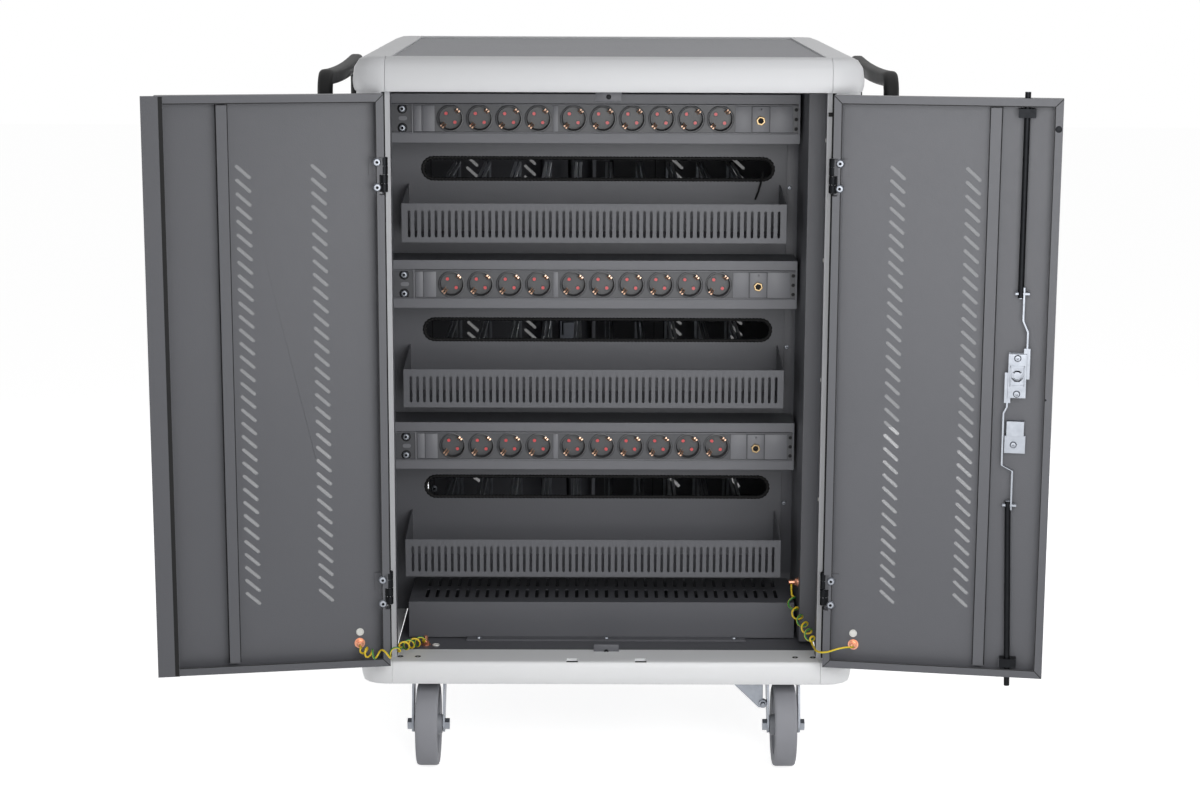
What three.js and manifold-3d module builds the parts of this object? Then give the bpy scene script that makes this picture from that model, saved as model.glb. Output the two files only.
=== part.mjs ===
// Two-sided laptop charging cart: a sheet-steel cabinet in a light metal frame, on four casters.
// Millimetres, +Z up. Inside the cart group X runs to the right, Y runs back from the outer face
// of the front rails and Z runs up from the floor. The rear face is the front face turned by half
// a turn about the middle of the cart.

import * as THREE from 'three';
import { mergeVertices } from 'three/addons/utils/BufferGeometryUtils.js';
import Module from 'manifold-3d';

const wasm = await Module();
wasm.setup();

// Fits
const GAP = 0.3;                // between pieces that touch
const RUN = 0.3;                // play of a pin in its bore
const SHEET = 1.5;              // folded steel sheet
const SINK = 0.4;               // how far welded pieces run into each other
const PAST = 2;                 // how far a cut runs past its face

// Frame
const CART_W = 740;
const CART_D = 740;
const FRAME_CLEAR = 14;         // underside of the bottom rails above the wheels
const BOTTOM_RAIL_H = 35;
const DOORWAY_H = 848;
const TOP_RAIL_H = 49;
const TOP_RAIL_W = 40;          // front and rear top rails, seen from above
const SIDE_RAIL_W = 55;         // top side rails, seen from above
const SILL_W = 66;              // front and rear bottom rails, seen from above
const RAIL_WALL = 4;            // wall of the open bottom rails
const RAIL_LIP = 10;            // turned-in lower edge of the bottom rails
const CAP_L = 49;               // corner cap along each rail
const CAP_R = 40;               // corner cap's radius seen from above
const TOP_SHOULDER = 22;        // rounding of the top rails' upper edge
const BOTTOM_SHOULDER = 7;      // rounding of the bottom rails' upper edge
const RAIL_UNDERCUT = 3;        // how far the rails' lower edge draws in
const PANEL_T = 4;
const PANEL_RECESS = 3;         // top panel below the top of the rails
const FACE_STEPS = 3;           // facets of each curve in a rail's face
const CORNER_STEPS = 4;         // facets round a corner of the frame

// Posts
const POST_W = 54;              // from the cart's widest line to the doorway
const POST_INSET = 6;           // posts behind the widest line of the rails
const POST_R = 24;
const REBATE_PLAY = 4;          // free space behind a closed door

// Doors
const DOOR_T = 20;
const DOOR_PLAY = 1.5;          // to the sill and to the top rail
const HINGE_SETBACK = 7.5;      // hinge axis beside the doorway
const HINGE_PROUD = 3;          // hinge axis in front of the door's skin
const LEAF_START = 1;           // hinge axis to the leaf's hinge edge
const MEET_GAP = 3;             // between two closed leaves, whose back edges swing past the middle
const LIP_W = 12;
const STRIP_W = 19;             // overlap strip beyond the leaf's free edge
const OPEN_DEG = 170;           // the front doors stand open
const AJAR_DEG = 20;            // the rear lock leaf stands clear of the other leaf's strip
const STIFFENER_INSET = 93;     // free edge to the middle of the stiffener
const STIFFENER_W = 15;
const STIFFENER_H = 15;

// Hinges
const HINGE_UP = 114.5;         // lower hinge above the door's lower edge
const HINGE_DOWN = 116.5;       // upper hinge below the door's upper edge
const HINGE_H = 50;
const BARREL_R = 6;
const PIN_R = 3;
const LEAF_PLATE = 22;          // hinge plate along the post and along the door
const HINGE_NOTCH_U = 8;
const HINGE_NOTCH_PLAY = 2;

// Door lock, placed from the leaf's free edge and the door's middle
const LOCK_INSET = 51;
const LOCK_RISE = 26;           // spindle above the door's middle
const CYLINDER_DROP = 78;       // key cylinder below the spindle
const SPINDLE_R = 5.9;
const THROAT_R = 8.5;
const CYLINDER_R = 10.5;
const ESCUTCHEON_T = 6.7;
const ESCUTCHEON_W = 34;
const ESCUTCHEON_UP = 40;       // above the spindle
const ESCUTCHEON_DOWN = 116;    // below the spindle
const COVER_W = 26;
const COVER_H = 64;
const COVER_T = 2;
const COVER_DEPTH = 15;         // cover plate behind the outside of the skin
const BASE_T = 2.2;
const SPACER_R = 4;
const SPACER_OFFSET = 26;
const WINDOW_R = 9;
const CAM_T = 2.5;
const CAM_DEPTH = 9.3;
const CAM_REACH = 13;           // pin circle of the cam, and the rods' stroke
const CAM_END_R = 4;
const CYLINDER_BOX = [25, 12, 22];
const BRACKET_BOX = [30, 8, 26];
const LEVER_L = 104;
const LEVER_W = 22;
const LEVER_T = 14;
const LEVER_PLAY = 1;           // lever to escutcheon
const LEVER_PIN_R = 2.5;
const LEVER_NECK_W = 10;

// Lock rods and links
const ROD_R = 4;
const ROD_SIDES = 8;
const ROD_OFFSET = 1;           // rods beside the spindle
const ROD_DEPTH = 12.5;
const ROD_TOP_OUT = 8.9;        // rod tips beyond the door's edges when locked
const ROD_BOTTOM_OUT = 14.5;
const ROD_PLAY = 1.4;
const LOWER_ROD_LEAN = 8;       // the lower rod's upper end stands nearer to the hinge
const UPPER_ROD_END = 112;      // rods' inner ends above and below the spindle
const LOWER_ROD_END = 184;
const LINK_T = 2.5;
const LINK_DEPTH = [6.5, 14.6];
const TONGUE_DEPTH = [12.2, 14.6];
const TONGUE_W = 9;
const UPPER_LINK_Z = [16, -32, -48]; // lap, straight and end of the bend, from the rod's inner end
const LOWER_LINK_Z = [52, 44, -14];
const LINK_CLEAR = 6;           // links beyond the lock's cover
const LINK_BEND = [8, 17];
const LINK_BOLT_IN = 7;         // bolt from the rod's inner end
const LINK_BOLT_R = 3;
const LINK_BOLT_L = 20;
const GUIDE_INSET = 21;         // rod guides from the door's top and bottom edges
const GUIDE_H = 12;
const GUIDE_W = 24;
const SLOT_W = 17;              // rod slots in the rails
const SLOT_D = 15;
const TOP_SLOT_DEPTH = 22;

// Inside, charging side. Insets count from the cart's widest line, on the left and on the right.
const PARTITION_Y = 290;
const STRIP_DROP = 53;          // middle of the top power strip below the lintel
const TIER_MARGIN = 86;         // doorway height that the tiers leave over
const TIERS = 3;
const BAY_INSET = 64;
const OVAL_INSET = [81, 110];
const OVAL_H = 36;
const OVAL_SIDES = 12;          // facets of the two round ends together
const OVAL_DROP = 84;           // below the middle of the power strip
const DUCT_INSET = 73;
const DUCT_Y = 110;
const DUCT_TOP_GAP = 8;
const CHANNEL_INSET = [25, 78];
const CHANNEL_Y = 207;
const CHANNEL_H = 74;
const CHANNEL_FOOT = 18;
const POWER_STRIP_INSET = [74, 81];
const POWER_STRIP_H = 44.5;
const POWER_STRIP_DEEP = 50;
const POWER_STRIP_PROUD = 1.8;
const EAR_W = 34;
const SOCKET_R = 19.6;
const SOCKET_DEPTH = 14;
const SOCKET_PITCH = 44.6;
const SOCKET_GROUPS = [[56.5, 4], [244, 6]]; // first socket from the strip's left end, and number
const SOCKET_SIDES = 10;
const TRAY_INSET = [59, 100];
const TRAY_Y = 155;
const TRAY_LIP_H = 59;
const TRAY_DROP = 183;          // lip's lower edge below the middle of the power strip
const LOW_TRAY_EXTRA = 13.5;    // the lowest tray hangs lower
const TRAY_WING_RISE = 16;
const TRAY_BACK_H = 20;
const COVER_INSET = [64, 78];
const APRON_Y = 145;
const COVER_RISE = 58.6;        // cover's top above the floor panel
const COVER_FLOOR_GAP = 2;
const FOOT_STRIP_INSET = 154;
const FOOT_STRIP_W = 17;

// Inside, laptop side
const SHELF_DROP = 209;         // shelf below the middle of the power strip
const SHELF_INSET = 25;
const SHELF_BACK_GAP = 50;      // shelf to the rear rails' outer face
const SHELF_FLANGE = 20;
const DIVIDERS = 10;
const DIVIDER_START = 115;      // first divider from the cart's widest line
const DIVIDER_PITCH = 51.9;
const DIVIDER_H = 100;
const DIVIDER_INSET = 16;
const WIRE_T = 4;
const WIRE_PAIR = 7.5;

// Floor and side panels
const FLOOR_RISE = 29;          // floor panel above the underside of the bottom rails
const BEAM_RISE = 11;
const BEAM_T = 3;
const BEAM_Y = [34, 128];
const SIDE_FLANGE = 15;

// Push handles
const HANDLE_OUT = 38;          // bow beside the cart's widest line
const HANDLE_W = 22;
const HANDLE_Y = [110, 630];
const HANDLE_DROP = 25;         // bow below the top of the rails
const HANDLE_H = 98;            // bow above its feet
const HANDLE_T = 23;
const HANDLE_R = 34;
const HANDLE_DIP = 5;
const HANDLE_PLATE_T = 4;
const HANDLE_PLATE_R = 6;

// Casters
const CASTER_INSET = 100;       // swivel axis from the cart's widest line
const CASTER_Y = 80;
const CASTER_TRAIL = 35;
const WHEEL_R = 62.5;
const WHEEL_W = 38;
const WHEEL_SIDES = 14;
const AXLE_R = 5;
const FORK_T = 3;
const FORK_PLAY = 3;
const FORK_FOOT_R = 13;
const HEAD_R = 32;
const HEAD_T = 10;
const PLATE_T = 4.3;
const PLATE_SIZE = [100, 85];
const RACE_R = 24;
const RACE_T = 3.5;
const KING_R = 6;
const KING_NUT_R = 11;
const KING_NUT_T = 5;
const NUT_R = 9;
const NUT_T = 7;
const PEDAL_REACH = 50;
const PEDAL_H = 34;
const PEDAL_T = 2.5;
const PEDAL_PIN_R = 3;
const PEDAL_EYE_R = 6.5;
const PEDAL_RIM = 5;

// Earth wires: the points that each curly wire's middle follows, chosen by hand, as the distance
// beside the hinge axis, the depth and the height above the floor panel
const WIRE_COIL_R = 8;
const WIRE_SIDES = 8;
const LEFT_WIRE_ROUTE = [
  [42.2, -27, 38.5], [38, -35, 35.5], [28, -41, 32], [15.5, -43, 30.5], [4, -41, 30.5],
  [-5.5, -36.4, 30.5], [-12.1, -26.6, 30], [-14.2, -12, 28.5], [-16.2, 4, 27], [-20, 22, 24.5],
  [-25, 41, 21], [-31, 62, 17], [-38, 84, 12.5], [-45, 106, 9.5],
];
const RIGHT_WIRE_ROUTE = [
  [42.2, -27, 39.5], [38, -35, 41], [28.5, -41, 42.5], [16.5, -43, 40.5], [4.5, -41, 36],
  [-5.5, -36.4, 33.5], [-12.1, -26.6, 33], [-14.2, -12, 33.5], [-16.2, 4, 35.5], [-17.5, 24, 39],
  [-19.5, 44, 42.5], [-23, 64, 46], [-27.5, 82, 49.5], [-32.7, 102, 54.5], [-36.3, 120, 63],
  [-37, 134, 77], [-37, 141.5, 89],
];
const STUD_R = 3.5;
const DOOR_STUD_U = 45;         // from the hinge axis
const DOOR_STUD_RISE = 40;      // above the floor panel
const DOOR_STUD_L = 8;
const FLOOR_STUD = [-45.5, 110]; // beside the hinge axis, and depth
const FLOOR_STUD_L = 14;
const DUCT_STUD = [145.5, 91.5]; // depth, and height above the floor panel
const DUCT_STUD_L = 14;

// Levels and places that follow from the sizes above
const FRAME_Z = WHEEL_R * 2 + FRAME_CLEAR;
const FLOOR_Z = FRAME_Z + FLOOR_RISE;
const BEAM_Z = FRAME_Z + BEAM_RISE;
const SILL_Z = FRAME_Z + BOTTOM_RAIL_H;
const LINTEL_Z = SILL_Z + DOORWAY_H;
const TOP_Z = LINTEL_Z + TOP_RAIL_H;
const PANEL_Z = TOP_Z - PANEL_RECESS;
const HALF_W = CART_W / 2;
const DOOR_Z = [SILL_Z + DOOR_PLAY, LINTEL_Z - DOOR_PLAY];
const SKIN_Y = HINGE_PROUD;
const LIP_Y = HINGE_PROUD + DOOR_T;
const POST_OUTER_X = HALF_W - POST_INSET;
const POST_INNER_X = HALF_W - POST_W;
const HINGE_X = POST_INNER_X + HINGE_SETBACK;
const LEAF_W = HINGE_X - MEET_GAP / 2;
const STIFFENER_U = LEAF_W - STIFFENER_INSET;
const LOCK_U = LEAF_W - LOCK_INSET;
const ROD_U = LOCK_U + ROD_OFFSET;
const HINGE_Z = [DOOR_Z[0] + HINGE_UP, DOOR_Z[1] - HINGE_DOWN];
const LOCK_Z = (DOOR_Z[0] + DOOR_Z[1]) / 2 + LOCK_RISE;
const HANDLE_X = [HALF_W + HANDLE_OUT, HALF_W + HANDLE_OUT + HANDLE_W];
const HANDLE_TOP_Z = TOP_Z - HANDLE_DROP;
const HANDLE_FOOT_Z = HANDLE_TOP_Z - HANDLE_H;
const across = ([left, right]) => [left - HALF_W, HALF_W - right];
const INSIDE_LEFT = BAY_INSET - HALF_W;
const OVAL_X = across(OVAL_INSET);
const DUCT_X = HALF_W - DUCT_INSET;
const CHANNEL_X = across(CHANNEL_INSET);
const POWER_STRIP_X = across(POWER_STRIP_INSET);
const TRAY_X = across(TRAY_INSET);
const COVER_X = across(COVER_INSET);
const COVER_Z = FLOOR_Z + COVER_RISE;
const FOOT_STRIP_X = HALF_W - FOOT_STRIP_INSET;
const SHELF_X = HALF_W - SHELF_INSET;
const DIVIDER_FIRST_X = DIVIDER_START - HALF_W;
const CASTER_X = HALF_W - CASTER_INSET;
const TIER_PITCH = (DOORWAY_H - TIER_MARGIN) / TIERS;
const SIDE_INNER_X = POST_OUTER_X - SHEET - GAP;
const tierZ = (tier) => LINTEL_Z - STRIP_DROP - tier * TIER_PITCH;
const trayZ = (tier) => tierZ(tier) - TRAY_DROP - (tier === TIERS - 1 ? LOW_TRAY_EXTRA : 0);

// Finishes
const finish = (color, roughness, metalness) => new THREE.MeshStandardMaterial(
  { color, roughness, metalness });
const railPaint = finish(0xd6d7d9, 0.4, 0.1);
const panelPaint = finish(0x6f7076, 0.6, 0.1);
const cabinetPaint = finish(0x55565b, 0.55, 0.1);
const stripBlack = finish(0x2c2d30, 0.5, 0);
const zinc = finish(0xb9bdc6, 0.35, 0.9);
const blackPlastic = finish(0x26262a, 0.5, 0);
const tyreRubber = finish(0x85868c, 0.75, 0);
const earthYellow = finish(0xe0c030, 0.5, 0);

// Solids from geometry, and geometry from solids
function toSolid(geometry) {
  const bare = new THREE.BufferGeometry();
  bare.setAttribute('position', geometry.getAttribute('position').clone());
  bare.setIndex(geometry.index);
  const welded = mergeVertices(bare, 1e-4);
  const vertProperties = new Float32Array(welded.getAttribute('position').array);
  const triVerts = new Uint32Array(welded.index.array);
  return new wasm.Manifold(new wasm.Mesh({ numProp: 3, vertProperties, triVerts }));
}

function toGeometry(solid) {
  const mesh = solid.getMesh();
  const geometry = new THREE.BufferGeometry();
  geometry.setAttribute('position', new THREE.BufferAttribute(new Float32Array(mesh.vertProperties), 3));
  geometry.setIndex(new THREE.BufferAttribute(new Uint32Array(mesh.triVerts), 1));
  geometry.computeVertexNormals();
  return geometry;
}

const join = (...solids) => solids.reduce((whole, solid) => whole.add(solid));
const middle = ([low, high]) => (low + high) / 2;
const length = ([low, high]) => high - low;

function blockGeometry(x, y, z) {
  const box = new THREE.BoxGeometry(length(x), length(y), length(z));
  return box.translate(middle(x), middle(y), middle(z));
}

const block = (x, y, z) => toSolid(blockGeometry(x, y, z));

// A shape drawn in the two other axes, drawn out along one axis: (y, z) for x, (x, z) for y, (x, y) for z
function prism(outline, axis, [from, to]) {
  const points = outline.map((point) => (Array.isArray(point) ? new THREE.Vector2(...point) : point));
  const body = new THREE.ExtrudeGeometry(new THREE.Shape(points), { depth: to - from, bevelEnabled: false });
  const [ex, ey, ez] = [new THREE.Vector3(1, 0, 0), new THREE.Vector3(0, 1, 0), new THREE.Vector3(0, 0, 1)];
  const turn = new THREE.Matrix4();
  if (axis === 'x') turn.makeBasis(ey, ez, ex).setPosition(from, 0, 0);
  if (axis === 'y') turn.makeBasis(ex, ez, ey.negate()).setPosition(0, to, 0);
  if (axis === 'z') turn.setPosition(0, 0, from);
  return toSolid(body.applyMatrix4(turn));
}

// A regular polygon that stands on a flat
function ring(radius, sides, [cx, cy] = [0, 0]) {
  return Array.from({ length: sides }, (_, i) => {
    const angle = ((i + 0.5) / sides) * 2 * Math.PI;
    return [cx + radius * Math.cos(angle), cy + radius * Math.sin(angle)];
  });
}

const round = (radius, axis, centre, span, sides = 8) => prism(ring(radius, sides, centre), axis, span);

// A bore whose flats stay clear of a pin of the given radius
function bore(radius, axis, centre, span, sides = 8) {
  return round((radius + RUN) / Math.cos(Math.PI / sides), axis, centre, span, sides);
}

function mirrored(solid) {
  const geometry = toGeometry(solid).scale(-1, 1, 1);
  const index = geometry.index.array;
  for (let i = 0; i < index.length; i += 3) [index[i + 1], index[i + 2]] = [index[i + 2], index[i + 1]];
  return toSolid(geometry);
}

function piece(parent, name, solid, material) {
  const mesh = new THREE.Mesh(toGeometry(solid), material);
  mesh.name = name;
  parent.add(mesh);
  return mesh;
}

function group(parent, x = 0, y = 0, turnDeg = 0) {
  const child = new THREE.Group();
  child.position.set(x, y, 0);
  child.rotation.z = THREE.MathUtils.degToRad(turnDeg);
  parent.add(child);
  return child;
}

// Frame rails. A profile runs from the lower outer edge up the rounded face to the upper outer edge,
// as points of (depth from the outer line, height).
function outerFace(low, high, shoulder) {
  const face = new THREE.Path();
  const wide = low + (high - low - shoulder) * 0.6;
  face.moveTo(RAIL_UNDERCUT, low);
  face.quadraticCurveTo(0, low + (wide - low) * 0.3, 0, wide);
  face.bezierCurveTo(0, wide + (high - wide) * 0.6, shoulder * 0.35, high, shoulder, high);
  return face.getPoints(FACE_STEPS).map(({ x, y }) => [x, y]);
}

const solidProfile = (face, low, high, width) => [...face, [width, high], [width, low]];

const topFace = outerFace(LINTEL_Z, TOP_Z, TOP_SHOULDER);
const bottomFace = outerFace(FRAME_Z, SILL_Z, BOTTOM_SHOULDER);

// The bottom rails are open below, with a turned-in lower edge
function openProfile(width) {
  const under = SILL_Z - RAIL_WALL;
  return [...bottomFace, [width, SILL_Z], [width, under], [RAIL_WALL + BOTTOM_SHOULDER, under],
    [RAIL_WALL + RAIL_UNDERCUT, under - RAIL_WALL], [RAIL_WALL + RAIL_UNDERCUT, FRAME_Z + RAIL_WALL],
    [RAIL_WALL + RAIL_LIP, FRAME_Z + RAIL_WALL], [RAIL_WALL + RAIL_LIP, FRAME_Z]];
}

const railSpanX = [CAP_L - HALF_W + GAP, HALF_W - CAP_L - GAP];
const railSpanY = [CAP_L + GAP, CART_D - CAP_L - GAP];
const rodSlotX = HINGE_X - ROD_U;

function rodSlots(z) {
  return join(...[-rodSlotX, rodSlotX].map((x) => block(
    [x - SLOT_W / 2, x + SLOT_W / 2], [ROD_DEPTH - SLOT_D / 2, ROD_DEPTH + SLOT_D / 2], z)));
}

function topFaceRail() {
  const rail = prism(solidProfile(topFace, LINTEL_Z, TOP_Z, TOP_RAIL_W), 'x', railSpanX);
  return rail.subtract(rodSlots([LINTEL_Z - PAST, LINTEL_Z + TOP_SLOT_DEPTH]));
}

function bottomFaceRail() {
  const rail = prism(openProfile(SILL_W), 'x', railSpanX);
  return rail.subtract(rodSlots([FRAME_Z + RAIL_WALL * 2, SILL_Z + PAST]));
}

const leftOf = (profile) => profile.map(([d, z]) => [d - HALF_W, z]);

function topSideRail() {
  return prism(leftOf(solidProfile(topFace, LINTEL_Z, TOP_Z, SIDE_RAIL_W)), 'y', railSpanY);
}

function bottomSideRail() {
  return prism(leftOf(openProfile(CAP_L)), 'y', railSpanY);
}

// A corner cap carries the rails' profile from the side round the left front corner to the front.
// Each station is a place on the inner edge of the cap with the direction that faces out there.
function cap(face, low, high) {
  const corner = [CAP_R - HALF_W, CAP_R];
  const stations = [[[corner[0], CAP_L], Math.PI]];
  for (let i = 0; i <= CORNER_STEPS; i += 1) stations.push([corner, Math.PI * (1 + i / CORNER_STEPS / 2)]);
  stations.push([[CAP_L - HALF_W, corner[1]], Math.PI * 1.5]);
  const profile = solidProfile(face, low, high, CAP_R - SINK).reverse();
  const count = profile.length;
  const position = stations.flatMap(([[x, y], angle]) => profile.flatMap(([d, z]) => [
    x + (CAP_R - d) * Math.cos(angle), y + (CAP_R - d) * Math.sin(angle), z]));
  const index = [];
  for (let row = 0; row < stations.length - 1; row += 1) {
    for (let i = 0; i < count; i += 1) {
      const [a, b] = [row * count + i, row * count + (i + 1) % count];
      index.push(a, b, a + count, b, b + count, a + count);
    }
  }
  const flat = profile.map(([d, z]) => new THREE.Vector2(d, z));
  const last = (stations.length - 1) * count;
  for (const [a, b, c] of THREE.ShapeUtils.triangulateShape(flat, [])) {
    index.push(a, c, b, last + a, last + b, last + c);
  }
  const sweep = new THREE.BufferGeometry();
  sweep.setAttribute('position', new THREE.Float32BufferAttribute(position, 3));
  sweep.setIndex(index);
  return toSolid(sweep);
}

function postOutline() {
  const front = POST_INSET;
  const rebate = DOOR_T + REBATE_PLAY;
  const stepX = -HINGE_X - HINGE_PROUD;
  const arc = Array.from({ length: CORNER_STEPS + 1 }, (_, i) => {
    const angle = (i / CORNER_STEPS) * Math.PI / 2;
    const centre = [POST_R - POST_OUTER_X, front + POST_R];
    return [centre[0] - POST_R * Math.sin(angle), centre[1] - POST_R * Math.cos(angle)];
  });
  return [[-POST_INNER_X, rebate], [stepX, rebate], [stepX, front], ...arc,
    [-POST_OUTER_X, CAP_L], [-POST_INNER_X, CAP_L]];
}

// The post's half of a hinge: a lower knuckle with its pin, on a plate in front of the post
function postKnuckle(z) {
  const axis = [-HINGE_X, -HINGE_PROUD];
  const knuckle = round(BARREL_R, 'z', axis, [z - HINGE_H / 2, z - GAP]);
  const pin = round(PIN_R, 'z', axis, [z - PAST, z + HINGE_H / 2 - PAST]);
  const plate = block([-HINGE_X - LEAF_PLATE, -HINGE_X - LEAF_START], [LEAF_START - PAST, POST_INSET + SINK],
    [z - HINGE_H / 2, z - GAP]);
  return join(knuckle, pin, plate);
}

function leftPost() {
  const side = CAP_R - HALF_W;
  const seam = CAP_L - HALF_W;
  const beyond = -POST_INNER_X + PAST;
  const topCorner = block([side - SINK * 2, SIDE_RAIL_W - HALF_W], [TOP_RAIL_W + GAP, CAP_L],
    [LINTEL_Z, TOP_Z]);
  const bottomCorner = block([side - SINK * 2, seam], [CAP_R - SINK * 2, CAP_L], [FRAME_Z, SILL_Z]);
  const post = prism(postOutline(), 'z', [SILL_Z - SINK, LINTEL_Z + SINK]);
  const overSill = block([seam, beyond], [0, CAP_L + PAST], [SILL_Z - PAST, SILL_Z + GAP]);
  const underRail = block([seam, beyond], [0, CAP_L + PAST], [LINTEL_Z - GAP, LINTEL_Z + PAST]);
  return join(post.subtract(overSill).subtract(underRail), cap(topFace, LINTEL_Z, TOP_Z), topCorner,
    cap(bottomFace, FRAME_Z, SILL_Z), bottomCorner, ...HINGE_Z.map(postKnuckle));
}

// Doors. A leaf is drawn with its hinge axis on the Z axis, u along the leaf and y inwards.
function stiffener() {
  const u = [STIFFENER_U - STIFFENER_W / 2, STIFFENER_U + STIFFENER_W / 2];
  const z = [DOOR_Z[0] + LIP_W + PAST, DOOR_Z[1] - LIP_W - PAST];
  const channel = block(u, [SKIN_Y + SHEET - SINK, SKIN_Y + STIFFENER_H], z);
  return channel.subtract(block([u[0] + SHEET, u[1] - SHEET], [SKIN_Y, SKIN_Y + STIFFENER_H - SHEET],
    [z[0] - PAST, z[1] + PAST]));
}

// The door's half of a hinge: an upper knuckle with its bore, on a plate behind the skin
function doorKnuckle(z) {
  const span = [z + GAP, z + HINGE_H / 2];
  const plate = block([0, LEAF_PLATE], [SKIN_Y, SKIN_Y + SHEET * 2], span);
  const knuckle = round(BARREL_R, 'z', [0, 0], span).add(plate);
  return knuckle.subtract(bore(PIN_R, 'z', [0, 0], [span[0] - PAST, span[1] + PAST]));
}

function pan() {
  const u = [LEAF_START, LEAF_W];
  const shell = block(u, [SKIN_Y, LIP_Y], DOOR_Z);
  const hollow = block([u[0] + SHEET, u[1] - SHEET], [SKIN_Y + SHEET, LIP_Y - SHEET],
    [DOOR_Z[0] + SHEET, DOOR_Z[1] - SHEET]);
  const mouth = block([u[0] + LIP_W, u[1] - LIP_W], [LIP_Y - SHEET * 2, LIP_Y + PAST],
    [DOOR_Z[0] + LIP_W, DOOR_Z[1] - LIP_W]);
  const notches = HINGE_Z.map((z) => block([-PAST, HINGE_NOTCH_U], [SKIN_Y - PAST, LIP_Y + PAST],
    [z - HINGE_H / 2 - HINGE_NOTCH_PLAY, z + HINGE_H / 2 + HINGE_NOTCH_PLAY]));
  const folded = shell.subtract(hollow).subtract(mouth).subtract(join(...notches));
  const earthStud = round(STUD_R, 'y', [DOOR_STUD_U, FLOOR_Z + DOOR_STUD_RISE],
    [SKIN_Y + SHEET - SINK, SKIN_Y + SHEET + DOOR_STUD_L], 6);
  return join(folded, stiffener(), earthStud, ...HINGE_Z.map(doorKnuckle));
}

// A flat strip behind the free edge, which the other leaf closes over
function overlapStrip() {
  return block([LEAF_W - LIP_W, LEAF_W + STRIP_W], [LIP_Y + GAP, LIP_Y + GAP + SHEET], DOOR_Z);
}

// The lower rod leans a little, so its place along the leaf depends on the height
const rodTipZ = [DOOR_Z[0] - ROD_BOTTOM_OUT, DOOR_Z[1] + ROD_TOP_OUT];
const lowerRodTopZ = LOCK_Z - LOWER_ROD_END;
const lowerRodU = (z) => ROD_U - LOWER_ROD_LEAN * (z - rodTipZ[0]) / (lowerRodTopZ - rodTipZ[0]);
const depthY = (depth) => SKIN_Y + depth;
const guideZ = [DOOR_Z[0] + GUIDE_INSET, DOOR_Z[1] - GUIDE_INSET];

function rodGuide(u, z) {
  const depth = [depthY(SHEET - SINK), depthY(ROD_DEPTH + ROD_R + ROD_PLAY + SHEET)];
  return block(around(u, GUIDE_W), depth, around(z, GUIDE_H));
}

function lockCuts() {
  const skin = [SKIN_Y - PAST, SKIN_Y + SHEET + PAST];
  const rodHole = (u, z) => bore(ROD_R + ROD_PLAY, 'z', [u, depthY(ROD_DEPTH)],
    [z - GUIDE_INSET - PAST, z + GUIDE_INSET + PAST]);
  return join(
    bore(THROAT_R, 'y', [LOCK_U, LOCK_Z], skin),
    bore(CYLINDER_R, 'y', [LOCK_U, LOCK_Z - CYLINDER_DROP], skin),
    rodHole(lowerRodU(guideZ[0]), guideZ[0]),
    rodHole(ROD_U, guideZ[1]),
  );
}

// The strip stands off the lip on a weld bead
function weldedStripLeaf() {
  const bead = block([LEAF_W - LIP_W + SHEET, LEAF_W - SHEET], [LIP_Y - SINK, LIP_Y + GAP + SINK], DOOR_Z);
  return join(pan(), overlapStrip(), bead);
}

function lockLeaf() {
  const guides = join(rodGuide(lowerRodU(guideZ[0]), guideZ[0]), rodGuide(ROD_U, guideZ[1]));
  return mirrored(pan().add(guides).subtract(lockCuts()));
}

// Lock, drawn in the same way as a leaf. Depths count from the outside of the door's skin.
const around = (centre, size) => [centre - size / 2, centre + size / 2];
const lockDepth = (from, to) => [depthY(from), depthY(to)];
const backOfSkin = SHEET + GAP;
const escutcheonFace = -GAP - ESCUTCHEON_T;

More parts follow.
